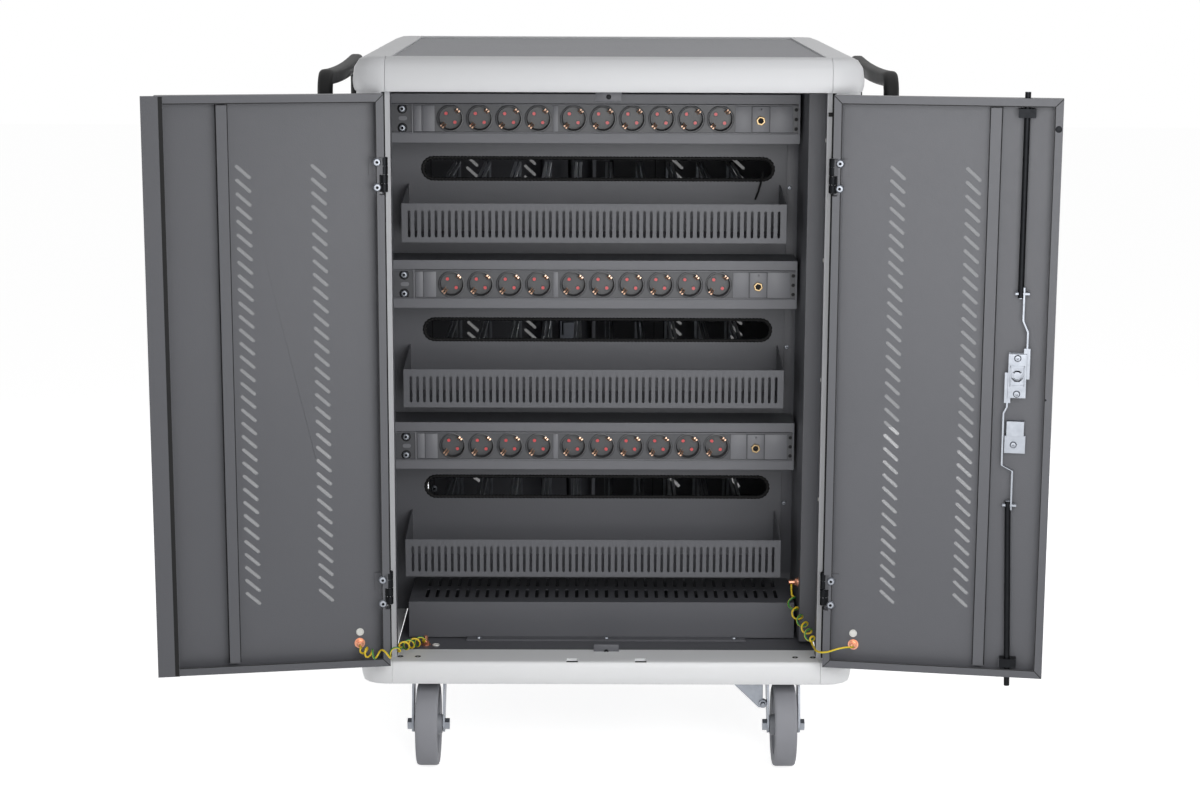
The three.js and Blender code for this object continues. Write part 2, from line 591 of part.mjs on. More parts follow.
function lockCase() {
  const u = around(LOCK_U, COVER_W);
  const z = around(LOCK_Z, COVER_H);
  const cylinderZ = LOCK_Z - CYLINDER_DROP;
  const end = ESCUTCHEON_W / 2;
  const chamfer = end / 2;
  const top = LOCK_Z + ESCUTCHEON_UP;
  const bottom = LOCK_Z - ESCUTCHEON_DOWN;
  const escutcheon = prism([
    [LOCK_U - end, bottom + chamfer], [LOCK_U - end + chamfer, bottom], [LOCK_U + end - chamfer, bottom],
    [LOCK_U + end, bottom + chamfer], [LOCK_U + end, top - chamfer], [LOCK_U + end - chamfer, top],
    [LOCK_U - end + chamfer, top], [LOCK_U - end, top - chamfer],
  ], 'y', lockDepth(escutcheonFace, -GAP));
  const base = block(u, lockDepth(backOfSkin, backOfSkin + BASE_T), z);
  const throat = round(THROAT_R, 'y', [LOCK_U, LOCK_Z], lockDepth(-GAP - SINK, CAM_DEPTH - RUN));
  const spacers = [-SPACER_OFFSET, SPACER_OFFSET].map((offset) => round(SPACER_R, 'y',
    [LOCK_U, LOCK_Z + offset], lockDepth(backOfSkin + SINK, COVER_DEPTH + SINK), 6));
  const cover = block(u, lockDepth(COVER_DEPTH, COVER_DEPTH + COVER_T), z)
    .subtract(round(WINDOW_R, 'y', [LOCK_U, LOCK_Z],
      lockDepth(COVER_DEPTH - PAST, COVER_DEPTH + COVER_T + PAST)));
  const [boxW, boxD, boxH] = CYLINDER_BOX;
  const [bracketW, bracketD, bracketH] = BRACKET_BOX;
  const bracketZ = cylinderZ - (boxH + bracketH) / 2;
  const barrel = round(CYLINDER_R, 'y', [LOCK_U, cylinderZ], lockDepth(-GAP - SINK, backOfSkin + SINK));
  const box = block(around(LOCK_U, boxW), lockDepth(backOfSkin, backOfSkin + boxD), around(cylinderZ, boxH));
  const bracket = block(around(LOCK_U, bracketW), lockDepth(backOfSkin, backOfSkin + bracketD),
    around(bracketZ + SINK, bracketH));
  const hole = bore(SPINDLE_R, 'y', [LOCK_U, LOCK_Z], lockDepth(escutcheonFace - PAST, CAM_DEPTH));
  return mirrored(join(escutcheon, base, throat, ...spacers, cover, barrel, box, bracket).subtract(hole));
}

const leverAxis = escutcheonFace - LEVER_PLAY - LEVER_T / 2;

function lockSpindle() {
  const shaft = round(SPINDLE_R, 'y', [LOCK_U, LOCK_Z],
    lockDepth(escutcheonFace - RUN - SINK, CAM_DEPTH + CAM_T + CAM_T / 2));
  const bar = block(around(LOCK_U, CAM_REACH * 2), lockDepth(CAM_DEPTH, CAM_DEPTH + CAM_T),
    around(LOCK_Z, CAM_END_R * 2));
  const ends = [-CAM_REACH, CAM_REACH].map((reach) => round(CAM_END_R, 'y', [LOCK_U + reach, LOCK_Z],
    lockDepth(CAM_DEPTH, CAM_DEPTH + CAM_T), 6));
  const neck = block(around(LOCK_U, LEVER_NECK_W),
    lockDepth(leverAxis - LEVER_PIN_R * 1.6, escutcheonFace - RUN), around(LOCK_Z, LEVER_T));
  const pin = round(LEVER_PIN_R, 'x', [depthY(leverAxis), LOCK_Z], around(LOCK_U, LEVER_W - SHEET), 6);
  return mirrored(join(shaft, bar, ...ends, neck, pin));
}

function lockLever() {
  const cheekW = (LEVER_W - LEVER_NECK_W) / 2 - RUN;
  const drop = LEVER_T / 2 + PAST;
  const cheeks = [-1, 1].flatMap((side) => {
    const u = around(LOCK_U + side * (LEVER_W - cheekW) / 2, cheekW);
    const eye = round(LEVER_T / 2, 'x', [depthY(leverAxis), LOCK_Z], u);
    const strap = block(u, around(depthY(leverAxis), LEVER_T * 0.96), [LOCK_Z - drop - SINK, LOCK_Z]);
    return [eye, strap];
  });
  const tip = LEVER_W / 4;
  const grip = prism([
    [LOCK_U - LEVER_W / 2, LOCK_Z - drop], [LOCK_U + LEVER_W / 2, LOCK_Z - drop],
    [LOCK_U + LEVER_W / 2, LOCK_Z - LEVER_L + tip], [LOCK_U + LEVER_W / 2 - tip, LOCK_Z - LEVER_L],
    [LOCK_U - LEVER_W / 2 + tip, LOCK_Z - LEVER_L], [LOCK_U - LEVER_W / 2, LOCK_Z - LEVER_L + tip],
  ], 'y', around(depthY(leverAxis), LEVER_T * 0.96));
  const hole = bore(LEVER_PIN_R, 'x', [depthY(leverAxis), LOCK_Z], around(LOCK_U, LEVER_W + PAST * 2), 6);
  return mirrored(join(...cheeks, grip).subtract(hole));
}

// A flat link stands on edge, so it is drawn as a line in (u, z) with a thickness along u
function link(points) {
  const right = points.map(([u, z]) => [u + LINK_T / 2, z]);
  const left = points.map(([u, z]) => [u - LINK_T / 2, z]).reverse();
  return prism([...right, ...left], 'y', lockDepth(...LINK_DEPTH));
}

function tongue(u, z) {
  return block(around(u, TONGUE_W), lockDepth(...TONGUE_DEPTH), z);
}

const linkBolt = (u, z) => round(LINK_BOLT_R, 'x', [depthY(ROD_DEPTH), z], around(u, LINK_BOLT_L), 6);
const linkStart = COVER_H / 2 + LINK_CLEAR;

function upperRod() {
  const end = LOCK_Z + UPPER_ROD_END;
  const beside = ROD_U + ROD_R + LINK_T / 2 - SINK;
  const pinU = LOCK_U + CAM_REACH;
  const rod = round(ROD_R, 'z', [ROD_U, depthY(ROD_DEPTH)], [end, rodTipZ[1]], ROD_SIDES);
  const [lap, straight, bend] = UPPER_LINK_Z;
  const strap = link([[beside, end + lap], [beside, end + straight], [pinU, end + bend],
    [pinU, LOCK_Z + linkStart]]);
  return mirrored(join(rod, strap, linkBolt(ROD_U + LINK_T, end + LINK_BOLT_IN),
    tongue(pinU, [LOCK_Z - TONGUE_W / 2, LOCK_Z + linkStart + PAST])));
}

function lowerRod() {
  const end = lowerRodTopZ;
  const beside = lowerRodU(end) + ROD_R + LINK_T / 2 - SINK;
  const pinU = LOCK_U - CAM_REACH;
  const outU = LOCK_U - BRACKET_BOX[0] / 2 - LINK_T;
  const from = new THREE.Vector3(lowerRodU(rodTipZ[0]), depthY(ROD_DEPTH), rodTipZ[0]);
  const to = new THREE.Vector3(lowerRodU(end), depthY(ROD_DEPTH), end);
  const run = to.clone().sub(from);
  const cylinder = new THREE.CylinderGeometry(ROD_R, ROD_R, run.length(), ROD_SIDES).toNonIndexed();
  const upright = new THREE.Vector3(0, 1, 0);
  cylinder.applyQuaternion(new THREE.Quaternion().setFromUnitVectors(upright, run.clone().normalize()));
  const centre = from.clone().add(to).divideScalar(2);
  const rod = toSolid(cylinder.translate(centre.x, centre.y, centre.z));
  const [bend, straight, lap] = LOWER_LINK_Z;
  const [start, out] = LINK_BEND.map((drop) => LOCK_Z - linkStart - drop);
  const strap = link([[pinU, LOCK_Z - linkStart], [pinU, start], [outU, out], [outU, end + bend],
    [beside, end + straight], [beside, end + lap]]);
  return mirrored(join(rod, strap, linkBolt(lowerRodU(end) + LINK_T, end - LINK_BOLT_IN),
    tongue(pinU, [LOCK_Z - linkStart - PAST, LOCK_Z + TONGUE_W / 2])));
}

// Cabinet panels
function topPanel() {
  const x = HALF_W - SIDE_RAIL_W - GAP;
  return block([-x, x], [TOP_RAIL_W + GAP, CART_D - TOP_RAIL_W - GAP], [PANEL_Z - PANEL_T, PANEL_Z]);
}

function sidePanel() {
  const [outer, skin, flange] = [-POST_OUTER_X, -POST_OUTER_X + SHEET, -POST_OUTER_X + SIDE_FLANGE];
  const [front, back] = [CAP_L + GAP, CART_D - CAP_L - GAP];
  const outline = [[outer, front], [flange, front], [flange, front + SHEET], [skin, front + SHEET],
    [skin, back - SHEET], [flange, back - SHEET], [flange, back], [outer, back]];
  return prism(outline, 'z', [SILL_Z + GAP, LINTEL_Z - GAP]);
}

function partition() {
  const sheet = block([-SIDE_INNER_X, SIDE_INNER_X], [PARTITION_Y, PARTITION_Y + SHEET],
    [SILL_Z + GAP, LINTEL_Z - GAP]);
  const through = [PARTITION_Y - PAST, PARTITION_Y + SHEET + PAST];
  const ovals = Array.from({ length: TIERS }, (_, tier) => {
    const z = tierZ(tier) - OVAL_DROP;
    const radius = OVAL_H / 2;
    const straight = block([OVAL_X[0] + radius, OVAL_X[1] - radius], through,
      around(z, OVAL_H * Math.cos(Math.PI / OVAL_SIDES)));
    return join(straight, round(radius, 'y', [OVAL_X[0] + radius, z], through, OVAL_SIDES),
      round(radius, 'y', [OVAL_X[1] - radius, z], through, OVAL_SIDES));
  });
  return sheet.subtract(join(...ovals));
}

function wiringDuct() {
  const z = [SILL_Z + GAP, LINTEL_Z - DUCT_TOP_GAP];
  const wall = block([DUCT_X, DUCT_X + SHEET], [DUCT_Y, PARTITION_Y - GAP], z);
  const front = block([DUCT_X, SIDE_INNER_X], [DUCT_Y, DUCT_Y + SHEET], z);
  return join(wall, front, round(STUD_R, 'x', [DUCT_STUD[0], FLOOR_Z + DUCT_STUD[1]],
    [DUCT_X - DUCT_STUD_L, DUCT_X + SINK], 6));
}

function bracketChannel(tier) {
  const z = around(tierZ(tier), CHANNEL_H);
  const web = block(CHANNEL_X, [CHANNEL_Y, CHANNEL_Y + SHEET], z);
  const roof = block(CHANNEL_X, [CHANNEL_Y, PARTITION_Y - GAP], [z[1] - SHEET, z[1]]);
  const foot = block(CHANNEL_X, [CHANNEL_Y, CHANNEL_Y + CHANNEL_FOOT], [z[0], z[0] + SHEET]);
  const opening = block([POWER_STRIP_X[0] - GAP, POWER_STRIP_X[1] + GAP],
    [CHANNEL_Y - PAST, CHANNEL_Y + SHEET + PAST],
    around(tierZ(tier), POWER_STRIP_H + GAP * 2));
  return join(web, roof, foot).subtract(opening);
}

function powerStrip(tier) {
  const face = CHANNEL_Y - POWER_STRIP_PROUD;
  const z = around(tierZ(tier), POWER_STRIP_H);
  const body = block(POWER_STRIP_X, [face, face + POWER_STRIP_DEEP], z);
  const ear = block([POWER_STRIP_X[0] - EAR_W, POWER_STRIP_X[0] + SINK], [face, CHANNEL_Y - GAP], z);
  const cups = SOCKET_GROUPS.flatMap(([first, count]) => Array.from({ length: count }, (_, i) => round(
    SOCKET_R, 'y', [POWER_STRIP_X[0] + first + i * SOCKET_PITCH, tierZ(tier)],
    [face - PAST, face + SOCKET_DEPTH], SOCKET_SIDES)));
  return body.add(ear).subtract(join(...cups));
}

function adapterTray(tier) {
  const low = trayZ(tier);
  const back = PARTITION_Y - GAP;
  const lip = block(TRAY_X, [TRAY_Y, TRAY_Y + SHEET], [low, low + TRAY_LIP_H]);
  const deck = block(TRAY_X, [TRAY_Y, back], [low, low + SHEET]);
  const backFlange = block(TRAY_X, [back - SHEET, back], [low, low + TRAY_BACK_H]);
  const wing = (x) => prism([[TRAY_Y, low], [TRAY_Y, low + TRAY_LIP_H],
    [back, low + TRAY_LIP_H + TRAY_WING_RISE],
    [back, low]], 'x', [x, x + SHEET]);
  return join(lip, deck, backFlange, wing(TRAY_X[0]), wing(TRAY_X[1] - SHEET));
}

function baseCover() {
  const foot = FLOOR_Z + COVER_FLOOR_GAP;
  const back = PARTITION_Y - GAP;
  const top = block(COVER_X, [APRON_Y, back], [COVER_Z - SHEET, COVER_Z]);
  const apron = block(COVER_X, [APRON_Y, APRON_Y + SHEET], [foot, COVER_Z]);
  const end = (x) => block([x, x + SHEET], [APRON_Y, back], [SILL_Z + GAP, COVER_Z]);
  const strip = block([-FOOT_STRIP_X, FOOT_STRIP_X], [APRON_Y - FOOT_STRIP_W, APRON_Y + SHEET],
    [FLOOR_Z + GAP, foot + SHEET]);
  return join(top, apron, end(COVER_X[0]), end(COVER_X[1] - SHEET), strip);
}

// A divider is a pair of wire hoops that stand on the shelf
function wireHoop(x, shelf, [front, back]) {
  const top = shelf + DIVIDER_H;
  const foot = shelf - SINK;
  const outline = [[front, foot], [front, top], [back, top], [back, foot], [back - WIRE_T, foot],
    [back - WIRE_T, top - WIRE_T], [front + WIRE_T, top - WIRE_T], [front + WIRE_T, foot]];
  return prism(outline, 'x', around(x, WIRE_T));
}

function laptopShelf(tier) {
  const top = tierZ(tier) - SHELF_DROP;
  const y = [PARTITION_Y + SHEET + GAP, CART_D - SHELF_BACK_GAP];
  const deck = block([-SHELF_X, SHELF_X], y, [top - SHEET, top]);
  const flange = (from) => block([-SHELF_X, SHELF_X], [from, from + SHEET], [top - SHELF_FLANGE, top]);
  const hoops = Array.from({ length: DIVIDERS }, (_, i) => DIVIDER_FIRST_X + i * DIVIDER_PITCH)
    .flatMap((x) => [-1, 1].map((side) => wireHoop(x + side * WIRE_PAIR / 2, top,
      [y[0] + DIVIDER_INSET, y[1] - DIVIDER_INSET])));
  return join(deck, flange(y[0]), flange(y[1] - SHEET), ...hoops);
}

// Floor panel with a beam under each end, which carries two caster plates with their king pins
const raceZ = BEAM_Z - PLATE_T - RACE_T;

function casterSeat(x, y) {
  const [plateX, plateY] = PLATE_SIZE;
  const headBottom = raceZ - GAP - HEAD_T;
  const plate = block(around(x, plateX), around(y, plateY), [BEAM_Z - PLATE_T, BEAM_Z + SINK]);
  const race = round(RACE_R, 'z', [x, y], [raceZ, BEAM_Z - PLATE_T + SINK], 10);
  const pin = round(KING_R, 'z', [x, y], [headBottom - GAP - SINK, raceZ + SINK]);
  const nut = round(KING_NUT_R, 'z', [x, y], [headBottom - GAP - KING_NUT_T, headBottom - GAP], 6);
  return join(plate, race, pin, nut);
}

function floorPanel() {
  const x = HALF_W - CAP_L - GAP;
  const y = [SILL_W + GAP, CART_D - SILL_W - GAP];
  const deck = block([-x, x], y, [FLOOR_Z - BEAM_T, FLOOR_Z]);
  const beam = (near, far, inner) => join(
    block([-x, x], [Math.min(near, far), Math.max(near, far)], [BEAM_Z, BEAM_Z + BEAM_T]),
    block([-x, x], around(inner, BEAM_T), [BEAM_Z, FLOOR_Z - SINK]),
    block([-x, x], around(far + (inner < far ? -1 : 1) * BEAM_T / 2, BEAM_T), [BEAM_Z, FLOOR_Z - SINK]),
  );
  const mirrorY = (value) => CART_D - value;
  const inner = SILL_W + GAP + BEAM_T;
  const front = beam(BEAM_Y[0], BEAM_Y[1], inner);
  const rear = beam(mirrorY(BEAM_Y[0]), mirrorY(BEAM_Y[1]), mirrorY(inner));
  const seats = [CASTER_Y, mirrorY(CASTER_Y)].flatMap(
    (cy) => [-CASTER_X, CASTER_X].map((cx) => casterSeat(cx, cy)));
  const earthStud = round(STUD_R, 'z', [-HINGE_X - FLOOR_STUD[0], FLOOR_STUD[1]],
    [FLOOR_Z - SINK, FLOOR_Z + FLOOR_STUD_L], 6);
  return join(deck, front, rear, earthStud, ...seats);
}

// Push handle on the left side: an upright bow with feet that reach in to the side panel
function bowOutline() {
  const [front, back] = HANDLE_Y;
  const outer = new THREE.Shape();
  const mid = (front + back) / 2;
  const top = HANDLE_TOP_Z;
  outer.moveTo(front, HANDLE_FOOT_Z);
  outer.lineTo(front, top - HANDLE_R);
  outer.quadraticCurveTo(front, top, front + HANDLE_R, top);
  outer.quadraticCurveTo(mid, top - HANDLE_DIP * 2, back - HANDLE_R, top);
  outer.quadraticCurveTo(back, top, back, top - HANDLE_R);
  outer.lineTo(back, HANDLE_FOOT_Z);
  outer.lineTo(back - HANDLE_T, HANDLE_FOOT_Z);
  outer.lineTo(back - HANDLE_T, top - HANDLE_R);
  outer.quadraticCurveTo(back - HANDLE_T, top - HANDLE_T, back - HANDLE_R * 1.4, top - HANDLE_T);
  outer.quadraticCurveTo(mid, top - HANDLE_T - HANDLE_DIP * 2, front + HANDLE_R * 1.4, top - HANDLE_T);
  outer.quadraticCurveTo(front + HANDLE_T, top - HANDLE_T, front + HANDLE_T, top - HANDLE_R);
  outer.lineTo(front + HANDLE_T, HANDLE_FOOT_Z);
  return outer.getPoints(FACE_STEPS).slice(0, -1);
}

function leftHandle() {
  const bow = prism(bowOutline(), 'x', [-HANDLE_X[1], -HANDLE_X[0]]);
  const [front, back] = HANDLE_Y;
  const wall = -POST_OUTER_X - GAP;
  const foot = (y) => {
    const z = [HANDLE_FOOT_Z - HANDLE_T, HANDLE_FOOT_Z];
    const elbow = prism([[-HANDLE_X[1], z[1] + SINK], [-HANDLE_X[1] + HANDLE_PLATE_R, z[0]], [wall, z[0]],
      [wall, z[1]], [-HANDLE_X[0], z[1] + SINK]], 'y', y);
    const plate = block([wall - HANDLE_PLATE_T, wall], [y[0] - HANDLE_PLATE_R, y[1] + HANDLE_PLATE_R],
      [z[0] - HANDLE_PLATE_R, z[1] + HANDLE_PLATE_R]);
    return elbow.add(plate);
  };
  return join(bow, foot([front, front + HANDLE_T]), foot([back - HANDLE_T, back]));
}

// Casters, drawn with the swivel axis on the Z axis and the wheel trailing forwards
const axleY = -CASTER_TRAIL;
const headZ = [raceZ - GAP - HEAD_T, raceZ - GAP];
const legInner = WHEEL_W / 2 + FORK_PLAY;
const pedalPinX = -(legInner + FORK_T + PEDAL_EYE_R + GAP);
const pedalPinZ = WHEEL_R + PEDAL_H;

function casterFork(hasBrake) {
  const kingBore = bore(KING_R, 'z', [0, 0], [headZ[0] - PAST, headZ[1] + PAST]);
  const head = round(HEAD_R, 'z', [0, 0], headZ, 12).subtract(kingBore);
  const footArc = Array.from({ length: CORNER_STEPS + 1 }, (_, i) => {
    const angle = Math.PI + (i / CORNER_STEPS) * Math.PI;
    return [axleY + FORK_FOOT_R * Math.cos(angle), WHEEL_R + FORK_FOOT_R * Math.sin(angle)];
  });
  const outline = [[-HEAD_R * 0.8, headZ[1]], ...footArc, [HEAD_R * 0.8, headZ[0]], [HEAD_R * 0.8, headZ[1]]];
  const legs = [[-legInner - FORK_T, -legInner], [legInner, legInner + FORK_T]].map(
    (x) => prism(outline, 'x', x));
  const reach = legInner + FORK_T;
  const axle = round(AXLE_R, 'x', [axleY, WHEEL_R], [-reach, reach]);
  const nuts = [[-reach - NUT_T, -reach + SINK], [reach - SINK, reach + NUT_T]].map((x) => round(
    NUT_R, 'x', [axleY, WHEEL_R], x, 6));
  const parts = [head, ...legs, axle, ...nuts];
  if (hasBrake) {
    const pin = round(PEDAL_PIN_R, 'y', [pedalPinX, pedalPinZ], around(axleY, PEDAL_EYE_R * 3));
    const lug = block([pedalPinX - PEDAL_PIN_R, -legInner - SINK],
      [axleY + PEDAL_EYE_R, axleY + PEDAL_EYE_R + FORK_T], around(pedalPinZ, PEDAL_PIN_R * 2));
    parts.push(pin, lug);
  }
  return join(...parts);
}

function casterWheel() {
  const flat = Math.cos(Math.PI / WHEEL_SIDES);
  const tread = WHEEL_W / 2;
  const hub = legInner - 1;
  const half = [[AXLE_R + RUN, hub], [AXLE_R * 3, hub], [WHEEL_R * 0.7, tread * 0.6], [WHEEL_R * 0.78, tread],
    [WHEEL_R, tread * 0.7]];
  const outline = [...half, ...half.map(([r, x]) => [r, -x]).reverse()];
  const profile = outline.map(([r, x]) => new THREE.Vector2(r / flat, x));
  profile.push(profile[0].clone());
  const wheel = new THREE.LatheGeometry(profile.reverse(), WHEEL_SIDES, Math.PI / WHEEL_SIDES);
  return toSolid(wheel.rotateZ(Math.PI / 2).translate(0, axleY, WHEEL_R));
}

// Stamped pedal beside the braked wheel, on a pin in line with the wheel's plane
function brakePedal() {
  const plate = prism([
    [pedalPinX - PEDAL_EYE_R, pedalPinZ - PEDAL_EYE_R], [pedalPinX, pedalPinZ - PEDAL_EYE_R],
    [pedalPinX, headZ[1] - PEDAL_RIM], [pedalPinX - PEDAL_REACH, headZ[1] - PEDAL_RIM],
    [pedalPinX - PEDAL_REACH, headZ[1] - PEDAL_RIM * 2],
  ], 'y', [axleY - PEDAL_T / 2, axleY + PEDAL_T / 2]);
  const rim = block([pedalPinX - PEDAL_REACH, pedalPinX], [axleY - PEDAL_EYE_R, axleY + PEDAL_EYE_R],
    [headZ[1] - PEDAL_RIM - PEDAL_T, headZ[1] - PEDAL_RIM]);
  const eye = round(PEDAL_EYE_R, 'y', [pedalPinX, pedalPinZ], around(axleY, PEDAL_EYE_R * 1.6));
  const hole = bore(PEDAL_PIN_R, 'y', [pedalPinX, pedalPinZ], around(axleY, PEDAL_EYE_R * 4));
  return join(plate, rim, eye).subtract(hole);
}

// A curly earth wire is one fat tube of its outer diameter
function earthWire(route, side) {
  const path = new THREE.CatmullRomCurve3(route.map(([beside, depth, rise]) => new THREE.Vector3(
    side * (HINGE_X + beside), depth, FLOOR_Z + rise)));
  const section = new THREE.Shape(ring(WIRE_COIL_R, WIRE_SIDES).map((point) => new THREE.Vector2(...point)));
  const steps = route.length - 1;
  return toSolid(new THREE.ExtrudeGeometry(section, { steps, extrudePath: path, bevelEnabled: false }));
}

// Assembly
const cart = new THREE.Group();
piece(cart, 'top_panel', topPanel(), panelPaint);
piece(cart, 'floor_panel', floorPanel(), cabinetPaint);
piece(cart, 'partition', partition(), cabinetPaint);
piece(cart, 'wiring_duct', wiringDuct(), cabinetPaint);
piece(cart, 'base_cover', baseCover(), cabinetPaint);
['upper', 'middle', 'lower'].forEach((level, tier) => {
  piece(cart, `${level}_bracket_channel`, bracketChannel(tier), cabinetPaint);
  piece(cart, `${level}_power_strip`, powerStrip(tier), stripBlack);
  piece(cart, `${level}_adapter_tray`, adapterTray(tier), cabinetPaint);
  piece(cart, `${level}_laptop_shelf`, laptopShelf(tier), cabinetPaint);
});
piece(cart, 'left_handle', leftHandle(), blackPlastic);
piece(cart, 'right_handle', mirrored(leftHandle()), blackPlastic);
piece(cart, 'left_earth_wire', earthWire(LEFT_WIRE_ROUTE, -1), earthYellow);
piece(cart, 'right_earth_wire', earthWire(RIGHT_WIRE_ROUTE, 1), earthYellow);

// Each face has its own rails, posts, doors, lock and casters, and the side pieces on its left.
// The names' left and right are those seen from the front.
function addFace(name, left, right, turnDeg, stripLeafDeg, lockLeafDeg, hasScrewedStrip) {
  const face = group(cart, 0, turnDeg ? CART_D : 0, turnDeg);
  piece(face, `top_rail_${name}`, topFaceRail(), railPaint);
  piece(face, `bottom_rail_${name}`, bottomFaceRail(), railPaint);
  piece(face, `top_rail_${left}`, topSideRail(), railPaint);
  piece(face, `bottom_rail_${left}`, bottomSideRail(), railPaint);
  piece(face, `side_panel_${left}`, sidePanel(), cabinetPaint);
  piece(face, `corner_post_${name}_${left}`, leftPost(), railPaint);
  piece(face, `corner_post_${name}_${right}`, mirrored(leftPost()), railPaint);

  const leftDoor = group(face, -HINGE_X, -HINGE_PROUD, -stripLeafDeg);
  piece(leftDoor, `${name}_door_${left}`, hasScrewedStrip ? pan() : weldedStripLeaf(), cabinetPaint);
  if (hasScrewedStrip) piece(leftDoor, `${name}_overlap_strip`, overlapStrip(), cabinetPaint);
  const rightDoor = group(face, HINGE_X, -HINGE_PROUD, lockLeafDeg);
  piece(rightDoor, `${name}_door_${right}`, lockLeaf(), cabinetPaint);
  piece(rightDoor, `${name}_lock_case`, lockCase(), zinc);
  piece(rightDoor, `${name}_lock_spindle`, lockSpindle(), zinc);
  piece(rightDoor, `${name}_lock_lever`, lockLever(), blackPlastic);
  piece(rightDoor, `${name}_upper_rod`, upperRod(), zinc);
  piece(rightDoor, `${name}_lower_rod`, lowerRod(), zinc);

  for (const [side, x, hasBrake] of [[left, -CASTER_X, false], [right, CASTER_X, true]]) {
    const caster = group(face, x, CASTER_Y);
    piece(caster, `fork_${name}_${side}`, casterFork(hasBrake), zinc);
    piece(caster, `wheel_${name}_${side}`, casterWheel(), tyreRubber);
    if (hasBrake) piece(caster, `brake_pedal_${name}_${side}`, brakePedal(), zinc);
  }
}

addFace('front', 'left', 'right', 0, OPEN_DEG, OPEN_DEG, false);
addFace('rear', 'right', 'left', 180, 0, AJAR_DEG, true);

// The origin is the middle of the cart's bottom, with the doors as they stand
const box = new THREE.Box3().setFromObject(cart, true);
cart.position.set(-(box.min.x + box.max.x) / 2, -(box.min.y + box.max.y) / 2, -box.min.z);
const part = new THREE.Group();
part.add(cart);

export default part;
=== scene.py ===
# %% [markdown]
# # A laptop charging cart
# The cart is a sheet-steel cabinet in a pale frame, on four casters. Its two front doors stand open
# and show three power strips, three slotted trays and the three-point lock. The solids already have
# the right size and the right joints, so this lesson only dresses them: it gives each surface its
# finish and adds the small pieces that the solids leave out. Nothing is moved or resized.

# %% Load the solids
import math

import bmesh
import bpy
from mathutils import Matrix, Vector


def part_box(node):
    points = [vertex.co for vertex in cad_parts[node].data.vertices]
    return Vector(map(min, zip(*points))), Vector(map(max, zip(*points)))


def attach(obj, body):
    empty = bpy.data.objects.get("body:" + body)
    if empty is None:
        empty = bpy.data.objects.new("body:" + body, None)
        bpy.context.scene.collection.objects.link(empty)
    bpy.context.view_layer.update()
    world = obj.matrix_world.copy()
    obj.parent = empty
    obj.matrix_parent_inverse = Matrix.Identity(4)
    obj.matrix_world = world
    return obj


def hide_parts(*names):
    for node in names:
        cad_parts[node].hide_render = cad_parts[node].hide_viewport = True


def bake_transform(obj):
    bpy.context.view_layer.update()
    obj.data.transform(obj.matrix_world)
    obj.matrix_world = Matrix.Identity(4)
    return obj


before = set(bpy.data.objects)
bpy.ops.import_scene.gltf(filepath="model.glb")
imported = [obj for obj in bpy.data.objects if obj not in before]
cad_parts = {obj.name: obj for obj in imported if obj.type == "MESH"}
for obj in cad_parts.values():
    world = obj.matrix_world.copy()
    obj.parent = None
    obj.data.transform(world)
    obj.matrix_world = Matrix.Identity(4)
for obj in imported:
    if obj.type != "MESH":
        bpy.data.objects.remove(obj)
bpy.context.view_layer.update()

# %% [markdown]
# ## One measure for everything
# A maker thinks of the cart in millimetres: to the right of its middle, back from the front rails,
# up from the floor. The front top rail says where that measure starts in the scene, so every small
# piece below can be placed with numbers that could be read off the real cart with a tape.

# %% The cart's own millimetres
MM = 0.001
rail_low, rail_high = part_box("top_rail_front")
CART_START = Vector(((rail_low.x + rail_high.x) / 2, rail_low.y, 0))
CART_DEPTH = 740


def at(x, y, z):
    """A place on the cart, in metres of the scene."""
    return CART_START + Vector((x, y, z)) * MM


print("cart starts at", [round(value, 4) for value in CART_START])

# %% [markdown]
# ## The photograph's camera
# The picture was taken from three and a half metres, a little above the cart, with a longer lens.
# The place and the lens were found by fitting straight edges of the frame. The camera comes first,
# because the cords below are measured against what it sees.

# %% Camera
CAMERA_PLACE = (-20.7, -3491.7, 1249.4)
CAMERA_LENS_MM = 72.8
CAMERA_SENSOR_MM = 36
CAMERA_DOWN_DEG = 10.946
CAMERA_ROLL_DEG = -0.2
CAMERA_TURN_DEG = -0.12

scene = bpy.context.scene
scene.view_settings.view_transform = "Standard"
camera_data = bpy.data.cameras.new("photo_camera")
camera_data.lens = CAMERA_LENS_MM
camera_data.sensor_fit = "HORIZONTAL"
camera_data.sensor_width = CAMERA_SENSOR_MM
camera = bpy.data.objects.new("photo_camera", camera_data)
scene.collection.objects.link(camera)
camera.location = at(*CAMERA_PLACE)
camera.rotation_euler = [math.radians(turn) for turn in (90 - CAMERA_DOWN_DEG, CAMERA_ROLL_DEG, CAMERA_TURN_DEG)]
scene.camera = camera
print("camera at", [round(value, 3) for value in camera.location])

# %% [markdown]
# ## Tools for finishes
# Every finish is a small tree of nodes. One function adds a node with its settings and links, and
# one turns the sRGB colours that people read off a screen into the linear light that shaders need.
# Patterns are measured in millimetres: a noise of scale 1 repeats about once a metre, so a grain of
# two millimetres needs a scale of 1000 / 2.

# %% Colour, nodes and pattern sizes
def linear(code):
    """A colour such as #D4D5D6 in linear light."""
    channels = [int(code[i:i + 2], 16) / 255 for i in (1, 3, 5)]
    return [c / 12.92 if c <= 0.04045 else ((c + 0.055) / 1.055) ** 2.4 for c in channels] + [1.0]


def add(tree, kind, inputs=None, **settings):
    """Adds one node, sets its settings, and gives its sockets values or links."""
    node = tree.nodes.new(kind)
    for key, value in settings.items():
        setattr(node, key, value)
    for key, value in (inputs or {}).items():
        if isinstance(value, bpy.types.NodeSocket):
            tree.links.new(value, node.inputs[key])
        else:
            node.inputs[key].default_value = value
    return node


def per_metre(size_mm):
    """How often a pattern of that size repeats in a metre."""
    return 1000 / size_mm


